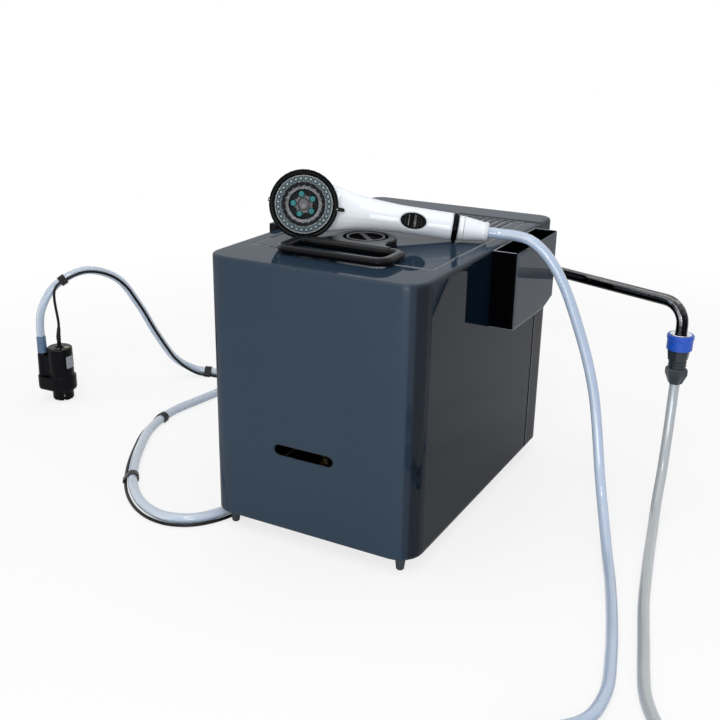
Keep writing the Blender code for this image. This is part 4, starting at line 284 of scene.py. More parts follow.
# Key, name, colour, roughness, scale of the noise, specular level, strength of the grain, and the radius over which
# the shading is rounded.
PLASTICS = (
    ("black", "black_gloss", (0.0045, 0.0045, 0.0055), 0.22, 34.0, 0.22, 0.05, 0.0014),
    ("ring", "black_ring", (0.0012, 0.0016, 0.0022), 0.16, 34.0, 0.05, 0.05, 0.0014),
    ("matt", "black_matt", (0.005, 0.005, 0.006), 0.45, 34.0, 0.12, 0.2, 0.0),
    ("handle", "handle_gloss", (0.003, 0.003, 0.004), 0.15, 26.0, 0.15, 0.04, 0.003),
    ("pump", "pump_black", (0.0016, 0.0018, 0.0030), 0.26, 38.0, 0.10, 0.10, 0.0018),
    ("ring_teal", "nozzle_rubber", (0.075, 0.120, 0.140), 0.42, 60.0, 0.4, 0.12, 0.0),
    ("socket", "nozzle_socket", (0.006, 0.018, 0.023), 0.45, 60.0, 0.3, 0.12, 0.0),
    ("dome", "nozzle_dome", (0.34, 0.44, 0.47), 0.40, 90.0, 0.5, 0.10, 0.0),
    ("teal", "nozzle_teal", (0.010, 0.20, 0.21), 0.32, 80.0, 0.4, 0.08, 0.0),
    ("recess", "recess_dark", (0.005, 0.006, 0.008), 0.40, 70.0, 0.08, 0.15, 0.0),
    ("cap", "cap_mauve", (0.085, 0.085, 0.098), 0.34, 90.0, 0.5, 0.10, 0.0),
    ("slate", "connector_slate", (0.024, 0.033, 0.042), 0.38, 50.0, 0.35, 0.16, 0.0),
    ("rubber", "grey_rubber", (0.040, 0.048, 0.058), 0.55, 60.0, 0.3, 0.25, 0.0),
    ("cable", "cable_sheath", (0.003, 0.003, 0.004), 0.34, 60.0, 0.22, 0.12, 0.0),
    ("sleeve", "sleeve_blue_grey", (0.095, 0.160, 0.270), 0.28, 60.0, 0.5, 0.10, 0.0),
    ("label", "label_grey", (0.27, 0.29, 0.33), 0.45, 60.0, 0.4, 0.06, 0.0),
    ("dot", "dot_olive", (0.34, 0.33, 0.22), 0.5, 120.0, 0.4, 0.12, 0.0),
    # The next four rows colour pale pieces that stand for light: painted highlight lines and spots, the top panel's
    # painted edge highlight, and slats painted lighter under the louvres.
    ("edge", "pale_highlight", (0.42, 0.45, 0.48), 0.35, 90.0, 0.5, 0.05, 0.0),
    ("dim_highlight", "dim_highlight", (0.12, 0.125, 0.135), 0.30, 90.0, 0.5, 0.05, 0.0),
    ("panel_line", "panel_line_pale", (0.30, 0.32, 0.34), 0.35, 90.0, 0.5, 0.05, 0.0),
    ("slat", "slat_painted_light", (0.060, 0.070, 0.082), 0.35, 30.0, 0.3, 0.05, 0.0),
)


def plastic(name, colour, roughness, scale, specular, relief, soft):
    """One material from a row of PLASTICS."""
    look = Look(name, colour, roughness, specular=specular)
    if soft:
        look.soften(soft)
    look.vary(scale, 0.14).smear(scale * 0.8, roughness * 0.16)
    return look.grain(look.noise(scale * 24, 2.0), relief, 0.0003).material


def make_blue_look():
    """Bright blue plastic with a fine grain."""
    look = Look("connector_blue", (0.010, 0.080, 0.50), 0.34, specular=0.4)
    look.vary(50.0, 0.12).smear(40.0, 0.05)
    return look.grain(look.noise(1000.0, 2.0), 0.12, 0.0003).material


def make_disc_look():
    """Dark and pale patches, as on a disc full of small bumps."""
    look = Look("disc_mottled", (0.22, 0.205, 0.225), 0.36)
    patches = look.ramp(look.noise(620.0, 4.0), ((0.40, (0.030, 0.032, 0.038)), (0.62, (0.20, 0.205, 0.22))))
    look.coloured(patches).vary(70.0, 0.15).smear(60.0, 0.06)
    return look.grain(look.noise(900.0, 2.0), 0.20, 0.0003).material


def make_white_look():
    """Glossy white, with a slight painted glow that lifts its shaded sides."""
    look = Look("white_gloss", (0.81, 0.85, 0.91), 0.22)
    # Painted light: a faint emission brightens the shaded undersides.
    look.set("Emission Color", (0.90, 0.95, 1.0, 1)).set("Emission Strength", 0.04)
    look.set("Coat Weight", 0.4).set("Coat Roughness", 0.06).soften(0.005)
    look.vary(9.0, 0.02).smear(20.0, 0.04)
    return look.grain(look.noise(300.0, 2.0), 0.03, 0.0004).material


def make_chrome_look():
    """Chrome coloured with painted reflections: dark below and a pale band near the top by how far each face points
    up, and painted highlight streaks on its front and right sides.
    """
    look = Look("chrome_painted_reflection", (0.10, 0.10, 0.11), 0.07, 1.0).soften(0.002)
    # Painted reflection: colour by how far the face points up.
    painted_sky = ((0.0, (0.006, 0.006, 0.008)), (0.62, (0.009, 0.009, 0.012)), (0.74, (0.055, 0.055, 0.060)),
           (0.86, (0.11, 0.11, 0.115)), (0.90, (0.42, 0.42, 0.43)), (0.93, (0.13, 0.13, 0.135)))
    colour = look.ramp(look.facing("Z"), painted_sky)
    # Painted highlight streak on faces turned to the front.
    glint = look.along((-0.22, -0.95, 0.22), 0.965, 0.985, "Normal")
    colour = look.mixed(glint, colour, (0.50, 0.50, 0.52))
    # Painted highlight streak on faces turned to the right.
    edge = look.along((0.92, -0.28, 0.10), 0.93, 0.97, "Normal")
    colour = look.mixed(edge, colour, (0.30, 0.30, 0.31))
    look.coloured(colour).vary(60.0, 0.35, (1, 1, 4)).smear(45.0, 0.03)
    return look.grain(look.noise(160.0, 2.0), 0.02, 0.0005).material


# Key, name, colour, roughness, and what goes into vary, smear, noise and grain.
METALS = (
    ("bright", "bright_chrome", (0.72, 0.74, 0.76), 0.08, (60.0, 0.12), (45.0, 0.03), (160.0, 2.0), (0.02, 0.0005)),
    ("steel", "plain_steel", (0.46, 0.47, 0.49), 0.34, (24.0, 0.16), (40.0, 0.08, (1, 12, 1)),
     (300.0, 3.0, (1, 14, 1)), (0.10, 0.0003)),
    ("brass", "turned_brass", (0.56, 0.40, 0.17), 0.30, (30.0, 0.20), (50.0, 0.08),
     (380.0, 3.0, (1, 1, 10)), (0.08, 0.0003)),
    ("copper", "soldered_copper", (0.64, 0.30, 0.18), 0.32, (16.0, 0.34), (30.0, 0.10), (260.0, 3.0), (0.08, 0.0003)),
)


def metal(name, colour, roughness, varied, smeared, noise, relief):
    """One material from a row of METALS."""
    look = Look(name, colour, roughness, 1.0).vary(*varied).smear(*smeared)
    return look.grain(look.noise(*noise), *relief).material


HOSE_BLUE = (0.56, 0.67, 0.84)
HOSE_PALE = (0.60, 0.69, 0.80)
HOSE_GREY = (0.52, 0.56, 0.58)
# The hose is grey where x + GREY_SLOPE * y is more than GREY_FROM.
GREY_SLOPE = 0.307
GREY_FROM = 0.2928
GREY_FADE = 0.012


def hose_look(name, colour, far_colour):
    """Clear tube, with a painted highlight streak and painted shade on one side. A second colour, where there is one,
    belongs to the stretch that comes back to the spout.
    """
    look = Look(name, colour, 0.16)
    look.set("Transmission Weight", 0.22).set("IOR", 1.42)
    look.set("Coat Weight", 0.8).set("Coat Roughness", 0.05)
    if far_colour is not None:
        start = GREY_FROM + SHIFT.x + GREY_SLOPE * SHIFT.y
        back = look.along((1, GREY_SLOPE, 0), start, start + GREY_FADE)
        colour = look.mixed(back, colour, far_colour)
    # Painted highlight: a pale streak on faces turned one way.
    painted_streak = look.along((0.08, -0.975, 0.20), 0.955, 0.995, "Normal")
    # Painted shade: darker on faces that point down and to one side.
    shade = look.along((0.66, -0.62, -0.42), 0.35, 0.95, "Normal")
    colour = look.mixed(shade, colour, look.mixed(1.0, colour, (0.80, 0.84, 0.90), "MULTIPLY"))
    look.coloured(look.mixed(painted_streak, colour, (0.76, 0.84, 0.93)))
    look.vary(26.0, 0.05).smear(30.0, 0.05)
    return look.grain(look.noise(120.0, 2.0), 0.03, 0.0006).material


def make_looks():
    """All materials of the part, by key."""
    paint = painted("casing_paint")
    paint.grain(paint.noise(420.0, 2.0), 0.05, 0.0004).grain(paint.noise(45.0, 2.0), 0.015, 0.0012)
    looks = {"paint": paint.material, "pocket": make_pocket_look()}
    for key, *values in PLASTICS:
        looks[key] = plastic(*values)
    looks["blue"] = make_blue_look()
    looks["disc"] = make_disc_look()
    looks["white"] = make_white_look()
    looks["chrome"] = make_chrome_look()
    for key, *values in METALS:
        looks[key] = metal(*values)
    looks["hose_shower"] = hose_look("hose_shower", HOSE_BLUE, HOSE_GREY)
    looks["hose_feed"] = hose_look("hose_feed", HOSE_PALE, None)
    return looks


LOOKS = make_looks()

NODE_LOOKS = {
    "paint": ("front_shell", "top_plate", "rear_cover"),
    "pocket": ("side_pocket",),
    "black": ("handle_hub", "control_knob", "cable_clip_1", "cable_clip_2", "cable_clip_3", "cable_clip_4"),
    "ring": ("shower_ring", "shower_band", "pause_button"),
    "matt": ("side_bracket", "water_inlet", "dc_socket", "dc_plug", "spark_module"),
    "handle": ("handle_bail",),
    "pump": ("pump_body", "pump_base", "pump_strainer"),
    "white": ("shower_body", "hose_nut", "pump_impeller", "spark_electrode"),
    "ring_teal": ("nozzle_ring",),
    # gas_manifold is brass; it takes this near-black look as painted shade deep inside the casing.
    "recess": ("spray_disc", "gas_manifold"),
    "label": ("battery_pack",),
    "blue": ("connector_collar",),
    "slate": ("connector_body", "connector_nut"),
    "chrome": ("spout_pipe", "spout_nut", "outlet_elbow"),
    "steel": (
        "base_plate", "cover_screw_left", "cover_screw_right", "pocket_screw_front", "pocket_screw_rear", "burner",
        "flue_hood", "pump_motor",
    ),
    "brass": ("knob_spindle", "gas_inlet", "gas_valve", "water_valve"),
    "copper": ("combustion_chamber", "heat_exchanger"),
    "rubber": ("foot_front_left", "foot_front_right", "foot_rear_left", "foot_rear_right"),
    "sleeve": ("outlet_sleeve",),
}


def dress_nodes():
    """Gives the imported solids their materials."""
    for look, names in NODE_LOOKS.items():
        for name in names:
            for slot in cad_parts[name].material_slots:
                slot.material = LOOKS[look]


dress_nodes()


# ---- shapes for the fine parts

def circle(radius, steps, turn=0.0):
    """Points round a circle."""
    return [(radius * math.cos(turn + 2 * math.pi * i / steps), radius * math.sin(turn + 2 * math.pi * i / steps))
            for i in range(steps)]


def skin(bm, rings, closed=False):
    """Faces between one ring of points and the next; a ring may be a single point."""
    made = [[bm.verts.new(p) for p in ring] for ring in rings]
    steps = max(len(ring) for ring in made)
    pairs = list(zip(made, made[1:]))
    if closed:
        pairs.append((made[-1], made[0]))
    for a, b in pairs:
        if len(a) == 1 and len(b) == 1:
            continue
        for i in range(steps):
            j = (i + 1) % steps
            face = list(dict.fromkeys([a[i % len(a)], a[j % len(a)], b[j % len(b)], b[i % len(b)]]))
            if len(face) > 2:
                bm.faces.new(face)
    return made


def turned(bm, profile, steps, place=Matrix.Identity(4), closed=False):
    """A profile of (radius, height) turned about the local Z axis."""
    rings = []
    for radius, height in profile:
        ring = [(0.0, 0.0)] if radius < 1e-7 else circle(radius, steps)
        rings.append([place @ Vector((x, y, height)) for x, y in ring])
    skin(bm, rings, closed)


def slab(bm, outline, low, high, soft, place=Matrix.Identity(4)):
    """A flat piece with a softened upper edge; its outline runs round the local Z axis."""
    middle = Vector((sum(x for x, _ in outline), sum(y for _, y in outline))) / len(outline)
    rings = [[place @ Vector((*middle, low))]]
    levels = ((low, 0.0), (high - soft, 0.0), (high - soft * 0.3, soft * 0.3), (high, soft))
    for height, inset in levels:
        ring = []
        for x, y in outline:
            arm = Vector((x, y)) - middle
            arm *= max(0.0, 1 - inset / max(1e-6, arm.length))
            ring.append(place @ Vector((*(middle + arm), height)))
        rings.append(ring)
    rings.append([place @ Vector((*middle, high))])
    skin(bm, rings)


def drawn(bm, path, radii, steps):
    """A tube whose radius changes along a path."""
    rings = [[path[0]]]
    side = None
    for i, (at, radius) in enumerate(zip(path, radii)):
        ahead = (path[min(i + 1, len(path) - 1)] - path[max(i - 1, 0)]).normalized()
        side = ahead.orthogonal() if side is None else side
        side = (side - ahead * side.dot(ahead)).normalized()
        other = ahead.cross(side)
        rings.append([at + side * x + other * y for x, y in circle(radius, steps)])
    rings.append([path[-1]])
    skin(bm, rings)


def make_object(name, bm, look):
    """An object with smooth shading, already in its place in the row frame."""
    bmesh.ops.recalc_face_normals(bm, faces=bm.faces)
    mesh = bpy.data.meshes.new(name)
    bm.to_mesh(mesh)
    bm.free()
    mesh.materials.append(LOOKS[look])
    for face in mesh.polygons:
        face.use_smooth = True
    mesh.set_sharp_from_angle(angle=math.radians(38))
    item = bpy.data.objects.new(name, mesh)
    bpy.context.scene.collection.objects.link(item)
    return item


def add_piece(name, bm, body, look):
    """One fine part that moves with a body."""
    item = make_object(name, bm, look)
    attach(item, body)
    return item


def add_turned(name, body, look, profile, steps, places, closed=False):
    """One fine part made of a profile turned at each of several places."""
    bm = bmesh.new()
    for place in places:
        turned(bm, profile, steps, place, closed)
    return add_piece(name, bm, body, look)


def shift_to(x, y, z):
    """A place measured from the middle of the casing."""
    return Matrix.Translation(Vector((x, y, z)) + SHIFT)


def around(place, radius, count, turn=0.0):
    """Evenly spaced places on a circle about one place."""
    return [place @ Matrix.Translation((x, y, 0)) for x, y in circle(radius, count, turn)]


# ---- hand shower

FACE_MIDDLE = Vector((-0.074, -0.0805, TOP_Z + 0.0391))
BAND_MIDDLE = Vector((0.0757, 0.0, TOP_Z + 0.0161))
NECK_DEPTH = 0.014
SHOWER_VIEW = Vector((0.513, -0.836, 0.191))


def aimed(start, end):
    """A place at start with X towards end and Z as near as it can be to the view, and that Z."""
    along = (end - start).normalized()
    out = (SHOWER_VIEW - along * SHOWER_VIEW.dot(along)).normalized()
    turn = Matrix((along, out.cross(along), out)).transposed().to_4x4()
    return Matrix.Translation(start + SHIFT) @ turn, out


# The face has Z out of it. The handle has X along it and Z out of its front.
FACE, face_out = aimed(FACE_MIDDLE, BAND_MIDDLE)
neck = FACE_MIDDLE - face_out * NECK_DEPTH
GRIP = aimed(neck, BAND_MIDDLE)[0]
REACH = (BAND_MIDDLE - neck).length
NOZZLE_COUNT = 32
NOZZLE_RING_R = 0.0285
NOZZLE_TURN = 0.05
STAR_TURN = math.radians(110)
STAR_LOBES = 5
BUTTON_AT = 0.1250
BUTTON_HALF = 0.0146
RIDGE_COUNT = 7
RIDGE_PITCH = 0.0036


def star(root, tip, steps=70):
    """Outline with soft lobes."""
    points = []
    for i in range(steps):
        a = 2 * math.pi * i / steps
        radius = root + (tip - root) * (0.5 + 0.5 * math.cos(STAR_LOBES * (a - STAR_TURN)))
        points.append((radius * math.cos(a), radius * math.sin(a)))
    return points


def make_nozzles():
    """The outer nozzles, each a pale dome in a dark socket."""
    spots = around(FACE, NOZZLE_RING_R, NOZZLE_COUNT, NOZZLE_TURN)
    profile = [(0, 0.0001), (0.0025, 0.0001), (0.0023, 0.0005), (0.0016, 0.0003), (0, 0.0003)]
    add_turned("nozzle_sockets", "heater", "socket", profile, 16, spots)
    profile = [(0, 0.0001), (0.00155, 0.0002), (0.0014, 0.0009), (0.0008, 0.0014), (0, 0.0015)]
    add_turned("nozzle_domes", "heater", "dome", profile, 12, spots)


def make_face_rings():
    """Lip of the turning ring, a pale line inside it as a painted highlight on the lip, and the mottled ring round
    the star.
    """
    bm = bmesh.new()
    profile = [(0.0328, 0.0002), (0.0330, 0.0016), (0.0337, 0.0022), (0.0345, 0.0018), (0.0349, 0.0010)]
    turned(bm, profile, 64, FACE, closed=True)
    profile = [(0.0372, 0.0004), (0.0376, 0.0013), (0.0381, 0.0013), (0.0386, 0.0003)]
    turned(bm, profile, 64, FACE, closed=True)
    add_piece("face_lip", bm, "selector", "ring")
    # Pale line just inside the lip: a painted highlight.
    profile = [(0.0314, -0.0003), (0.0316, 0.0005), (0.0320, 0.0005), (0.0322, -0.0003)]
    add_turned("face_highlight_line", "heater", "edge", profile, 64, [FACE], closed=True)
    bm = bmesh.new()
    profile = [(0.0167, -0.0020), (0.0166, 0.0003), (0.0171, 0.0007), (0.0201, 0.0005), (0.0205, -0.0006)]
    turned(bm, profile, 60, FACE, closed=True)
    for at in around(FACE, 0.0206, 20, 0.1):
        turned(bm, [(0, -0.0008), (0.0011, -0.0007), (0.0009, 0.0005), (0.0004, 0.0009), (0, 0.0009)], 10, at)
    add_piece("disc_band", bm, "heater", "disc")


def make_star():
    """Lobed cap with five bright nozzles and a round middle."""
    bm = bmesh.new()
    slab(bm, star(0.0096, 0.0143), 0.0002, 0.0012, 0.0005, FACE)
    add_piece("star_cap", bm, "heater", "cap")
    spots = around(FACE, 0.0116, STAR_LOBES, STAR_TURN)
    bm = bmesh.new()
    for at in spots:
        turned(bm, [(0.0033, 0.0006), (0.0034, 0.0015), (0.0041, 0.0014), (0.0043, 0.0004)], 20, at, closed=True)
        turned(bm, [(0, 0.0020), (0.0007, 0.0020), (0.0006, 0.0027), (0, 0.0027)], 10, at)
    turned(bm, [(0.0058, 0.0008), (0.0059, 0.0016), (0.0067, 0.0016), (0.0069, 0.0008)], 36, FACE, closed=True)
    add_piece("star_outlines", bm, "heater", "recess")
    profile = [(0, -0.0020), (0.0034, -0.0020), (0.0033, 0.0012), (0.0028, 0.0020), (0.0014, 0.0024), (0, 0.0025)]
    add_turned("star_nozzles", "heater", "teal", profile, 20, spots)
    profile = [(0, 0.0008), (0.0058, 0.0008), (0.0056, 0.0015), (0.0042, 0.0019), (0, 0.0021)]
    add_turned("star_middle", "heater", "cap", profile, 32, [FACE])


def make_ring_marks():
    """Grip rib on the turning ring, and a small pale stud on each nub as a painted highlight."""
    bm = bmesh.new()
    outline = [(0.0366, -0.0026), (0.0390, -0.0023), (0.0390, 0.0023), (0.0366, 0.0026)]
    slab(bm, outline, 0.0004, 0.0021, 0.0005, FACE)
    outline = [(-0.0398, -0.0021), (-0.0374, -0.0024), (-0.0374, 0.0024), (-0.0398, 0.0021)]
    slab(bm, outline, -0.0022, 0.0021, 0.0005, FACE)
    add_piece("ring_nubs", bm, "selector", "ring")
    # Pale studs: painted highlights on the nubs.
    spots = [FACE @ Matrix.Translation((x, 0, 0)) for x in (0.0378, -0.0385)]
    profile = [(0, 0.0016), (0.0009, 0.0018), (0.0008, 0.0026), (0, 0.0028)]
    add_turned("ring_nub_glints", "selector", "edge", profile, 12, spots)


def make_button_ridges():
    """Upright ridges across the press button, with pale lines between them as painted highlight streaks."""
    bm = bmesh.new()
    place = GRIP @ Matrix.Translation((BUTTON_AT, 0, 0))
    for i in range(RIDGE_COUNT):
        x = (i - (RIDGE_COUNT - 1) / 2) * RIDGE_PITCH
        half = 0.0078 * math.sqrt(max(0.05, 1 - (x / BUTTON_HALF) ** 2))
        outline = [(x + u * 0.0008, v * half) for u, v in (
            (-1, -0.9), (-0.6, -1), (0.6, -1), (1, -0.9), (1, 0.9), (0.6, 1), (-0.6, 1), (-1, 0.9)
        )]
        slab(bm, outline, 0.0150, 0.0166, 0.0004, place)
    add_piece("button_ridges", bm, "button", "ring")
    # Pale strips: painted highlight streaks on the button.
    bm = bmesh.new()
    for x, half in ((-0.0050, 0.0066), (0.0013, 0.0072), (0.0026, 0.0068)):
        outline = [(x + u * 0.00035, v * half) for u, v in ((-1, -0.95), (1, -1), (1, 0.95), (-1, 1))]
        slab(bm, outline, 0.0156, 0.0168, 0.0002, place)
    add_piece("button_highlight_streaks", bm, "button", "dim_highlight")


def make_band_bead():
    """Raised bead round the band, and the seam and end lip of the hose nut."""
    place = GRIP @ Matrix.Translation((REACH, 0, 0)) @ Matrix.Rotation(math.radians(90), 4, "Y")
    profile = [(0.0153, -0.0022), (0.0163, -0.0016), (0.0166, 0.0), (0.0163, 0.0016), (0.0153, 0.0022)]
    add_turned("band_bead", "heater", "ring", profile, 40, [place], closed=True)
    bm = bmesh.new()
    profile = [(0.0100, 0.0332), (0.0109, 0.0338), (0.0112, 0.0352), (0.0108, 0.0366), (0.0100, 0.0370)]
    turned(bm, profile, 32, place, closed=True)
    profile = [(0.0132, 0.0088), (0.0139, 0.0091), (0.0139, 0.0099), (0.0130, 0.0103)]
    turned(bm, profile, 32, place, closed=True)
    add_piece("nut_lips", bm, "heater", "white")


# ---- top, spout and pump

def make_knob_highlight():
    """Pale line round the knob's rim, a painted highlight."""
    place = shift_to(0.0015, -0.0735, 0.3228)
    profile = [(0.0199, 0.0076), (0.0200, 0.0081), (0.0205, 0.0083), (0.0210, 0.0081), (0.0211, 0.0076)]
    add_turned("knob_rim_highlight", "knob", "dim_highlight", profile, 56, [place], closed=True)


def make_hinge_collars():
    """Collars round the handle's two hinge pins."""
    spots = []
    for side in (-1, 1):
        place = shift_to(0.0015 + side * 0.0466, -0.1084, TOP_Z + 0.0059)
        spots.append(place @ Matrix.Rotation(math.radians(90 * side), 4, "Y"))
    profile = [(0.0047, -0.0016), (0.0052, -0.0012), (0.0052, -0.0004), (0.0047, 0.0)]
    add_turned("hinge_collars", "heater", "black", profile, 24, spots, closed=True)


def make_spout_flare():
    """Bright flared end of the spout in the collar's mouth."""
    turn = Matrix.Rotation(math.radians(-21), 4, "Z")
    place = shift_to(0.094, 0.2213, 0) @ turn @ Matrix.Translation((0.2324, 0, 0))
    profile = [(0.0070, 0.2092), (0.0104, 0.2094), (0.0122, 0.2103), (0.0126, 0.2110), (0.0121, 0.2114),
               (0.0100, 0.2106), (0.0072, 0.2102)]
    add_turned("spout_flare", "spout", "bright", profile, 40, [place], closed=True)


PUMP = shift_to(-0.553, 0.003, 0) @ Matrix.Rotation(math.radians(28.2), 4, "Z")
PUMP_VIEW = math.radians(-72.4)


def pump_spot(right, near, z):
    """A place on the pump's lid, measured to the right and towards the photograph's side."""
    ahead = Vector((math.cos(PUMP_VIEW), math.sin(PUMP_VIEW), 0))
    across = Vector((-ahead.y, ahead.x, 0))
    return PUMP @ Matrix.Translation(across * right + ahead * near + Vector((0, 0, z)))


def make_pump_lid():
    """Recess, screw, round mark and rim on the pump's lid."""
    recess = pump_spot(-0.0022, 0.0112, LID_Z)
    bm = bmesh.new()
    turned(bm, [(0.0036, 0.0), (0.0038, 0.0005), (0.0050, 0.0006), (0.0056, 0.0002), (0.0056, -0.0004)], 28,
           recess, closed=True)
    turned(bm, [(0, 0.0001), (0.0038, 0.0001), (0.0036, 0.0003), (0, 0.0003)], 24, recess)
    add_piece("lid_recess", bm, "heater", "matt")
    profile = [(0, 0.0001), (0.0013, 0.0002), (0.0011, 0.0008), (0, 0.0010)]
    add_turned("lid_screw", "heater", "steel", profile, 14, [pump_spot(-0.0018, 0.0112, LID_Z)])
    profile = [(0, -0.0001), (0.0037, -0.0001), (0.0037, 0.0002), (0.0033, 0.0004), (0, 0.0004)]
    add_turned("lid_dot", "heater", "dot", profile, 24, [pump_spot(0.0100, 0.0052, LID_Z)])
    profile = [(0.0166, 0.0796), (0.0170, 0.0806), (0.0178, 0.0803), (0.0184, 0.0794), (0.0182, 0.0789)]
    add_turned("lid_edge", "heater", "black", profile, 48, [PUMP], closed=True)


def make_pump_sides():
    """Bare label on the body, the pale line over the base and the gauze behind the strainer's slots."""
    bm = bmesh.new()
    rings = []
    for step in range(13):
        a = math.radians(-47 + 70 * step / 12)
        ring = []
        for radius, z in ((0.01835, 0.0505), (0.01852, 0.0508), (0.01852, 0.0687), (0.01835, 0.0690)):
            pinch = 0.0008 if step in (0, 12) else 0.0
            z += pinch if z < 0.06 else -pinch
            ring.append(PUMP @ Vector((radius * math.cos(a), radius * math.sin(a), z)))
        rings.append(ring)
    rings.insert(0, [sum(rings[0], Vector()) / 4])
    rings.append([sum(rings[-1], Vector()) / 4])
    skin(bm, rings)
    add_piece("pump_label", bm, "heater", "label")
    profile = [(0.0181, 0.0362), (0.0187, 0.0362), (0.0187, 0.0366), (0.0181, 0.0368)]
    add_turned("pump_line", "heater", "slate", profile, 48, [PUMP], closed=True)
    profile = [(0.0120, 0.0050), (0.0127, 0.0050), (0.0127, 0.0132), (0.0120, 0.0132)]
    add_turned("strainer_gauze", "heater", "label", profile, 32, [PUMP], closed=True)


def make_screw_slots():
    """Cross recesses in the heads of the cover's and the pocket's screws."""
    bm = bmesh.new()
    spots = []
    for x in (-0.103, 0.103):
        spots.append(shift_to(x, REAR_Y + 0.0003, TOP_Z - 0.014) @ Matrix.Rotation(math.radians(-90), 4, "X"))
    inset = 0.024
    for y in (POCKET_FRONT_Y + inset, POCKET_FRONT_Y + POCKET_LENGTH - inset):
        spots.append(shift_to(HALF_WIDTH + 0.0021, y, TOP_Z - 0.031) @ Matrix.Rotation(math.radians(90), 4, "Y"))
    for place in spots:
        for turn in (35, 125):
            arm = place @ Matrix.Rotation(math.radians(turn), 4, "Z")
            outline = [(-0.0017, -0.0003), (0.0017, -0.0003), (0.0017, 0.0003), (-0.0017, 0.0003)]
            slab(bm, outline, 0.0014, 0.00192, 0.0001, arm)
    add_piece("screw_slots", bm, "heater", "matt")


# ---- casing

def strip(bm, ends, wide, thick):
    """A thin straight band between two ends. Its width and thickness are vectors across it."""
    a, b = (Vector(p) + SHIFT for p in ends)
    across = Vector(wide) / 2
    out = Vector(thick)
    rings = []
    for at in (a, b):
        rings.append([at - across, at + across, at + across * 0.8 + out, at - across * 0.8 + out])
    rings.insert(0, [a + out / 2])
    rings.append([b + out / 2])
    skin(bm, rings)


def make_seam_shade():
    """Dark strips in the seam between the front shell and the rear cover, as painted shade of the gap."""
    bm = bmesh.new()
    for side in (-1, 1):
        x = side * HALF_WIDTH
        strip(bm, ((x, SEAM_Y, 0.0205), (x, SEAM_Y, 0.3165)), (0, 0.0065, 0), (side * 0.00025, 0, 0))
    strip(bm, ((-0.1245, SEAM_Y, TOP_Z), (0.1245, SEAM_Y, TOP_Z)), (0, 0.0012, 0), (0, 0, 0.00015))
    add_piece("seam_shade_strip", bm, "heater", "ring")


def make_panel_highlights():
    """Pale lines along the sides and front of the inset top panel, a painted highlight of its edge."""
    bm = bmesh.new()
    side = PANEL_HALF_WIDTH
    rear = PANEL_REAR_Y - 0.0020
    high = TOP_Z + 0.0002
    wide = 0.0005
    proud = (0, 0, 0.00012)
    for x in (-side, side):
        strip(bm, ((x, PANEL_FRONT_Y, high), (x, rear, high)), (wide, 0, 0), proud)
    strip(bm, ((-side, PANEL_FRONT_Y, high), (side, PANEL_FRONT_Y, high)), (0, wide, 0), proud)
    add_piece("panel_line", bm, "heater", "panel_line")


def make_louvre_slats():
    """A slat just under each of the top panel's louvres, coloured lighter than the paint as painted light on the
    louvres' edges.
    """
    bm = bmesh.new()
    end = PANEL_REAR_Y - 0.0080
    front = end - 0.0830
    low = TOP_Z - 0.0011
    for n in range(LOUVRE_COUNT):
        x = (n - (LOUVRE_COUNT - 1) / 2) * LOUVRE_PITCH
        strip(bm, ((x, front, low), (x, end, low)), (0.0030, 0, 0), (0, 0, 0.0006))
    add_piece("louvre_slats", bm, "heater", "slat")


make_seam_shade()
make_panel_highlights()
make_louvre_slats()
make_nozzles()
make_face_rings()
make_star()
make_ring_marks()
make_button_ridges()
make_band_bead()
make_knob_highlight()
make_hinge_collars()
make_spout_flare()
make_pump_lid()
make_pump_sides()
make_screw_slots()


# ---- cords

FINE_STEPS = 24


def smooth_route(points, step):
    """A smooth curve through chosen points, never below its lowest one, read again at even steps."""
    knots = [Vector(p) for p in points]
    lowest = min(p.z for p in knots)
    first = knots[0] - (knots[1] - knots[0])
    last = knots[-1] + (knots[-1] - knots[-2])
    knots = [first] + knots + [last]
    fine = []
    for i in range(1, len(knots) - 2):
        p0, p1, p2, p3 = knots[i - 1:i + 3]
        t0 = 0.0
        t1 = t0 + (p1 - p0).length ** 0.5
        t2 = t1 + (p2 - p1).length ** 0.5
        t3 = t2 + (p3 - p2).length ** 0.5
        for k in range(FINE_STEPS):
            t = t1 + (t2 - t1) * k / FINE_STEPS
            a1 = p0 * ((t1 - t) / (t1 - t0)) + p1 * ((t - t0) / (t1 - t0))
            a2 = p1 * ((t2 - t) / (t2 - t1)) + p2 * ((t - t1) / (t2 - t1))
            a3 = p2 * ((t3 - t) / (t3 - t2)) + p3 * ((t - t2) / (t3 - t2))
            b1 = a1 * ((t2 - t) / (t2 - t0)) + a2 * ((t - t0) / (t2 - t0))
            b2 = a2 * ((t3 - t) / (t3 - t1)) + a3 * ((t - t1) / (t3 - t1))
            spot = b1 * ((t2 - t) / (t2 - t1)) + b2 * ((t - t1) / (t2 - t1))
            spot.z = max(lowest, spot.z)
            fine.append(spot)
    fine.append(knots[-2])
    return resample(fine, step)


def resample(fine, step):
    """The same line with points at even steps."""
    lengths = [0.0]
    for a, b in zip(fine, fine[1:]):
        lengths.append(lengths[-1] + (b - a).length)
    count = max(4, round(lengths[-1] / step))
    route = []
    k = 0
    for n in range(count + 1):
        s = lengths[-1] * n / count
        while k < len(fine) - 2 and lengths[k + 1] < s:
            k += 1
        share = (s - lengths[k]) / (lengths[k + 1] - lengths[k])
        route.append(fine[k].lerp(fine[k + 1], min(1.0, share)))
    return route


def arc(cx, cy, radius, start, end, steps):
    """Points on part of a circle, by angles in degrees."""
    points = []
    for i in range(steps + 1):
        a = math.radians(start + (end - start) * i / steps)
        points.append((cx + radius * math.cos(a), cy + radius * math.sin(a)))
    return points


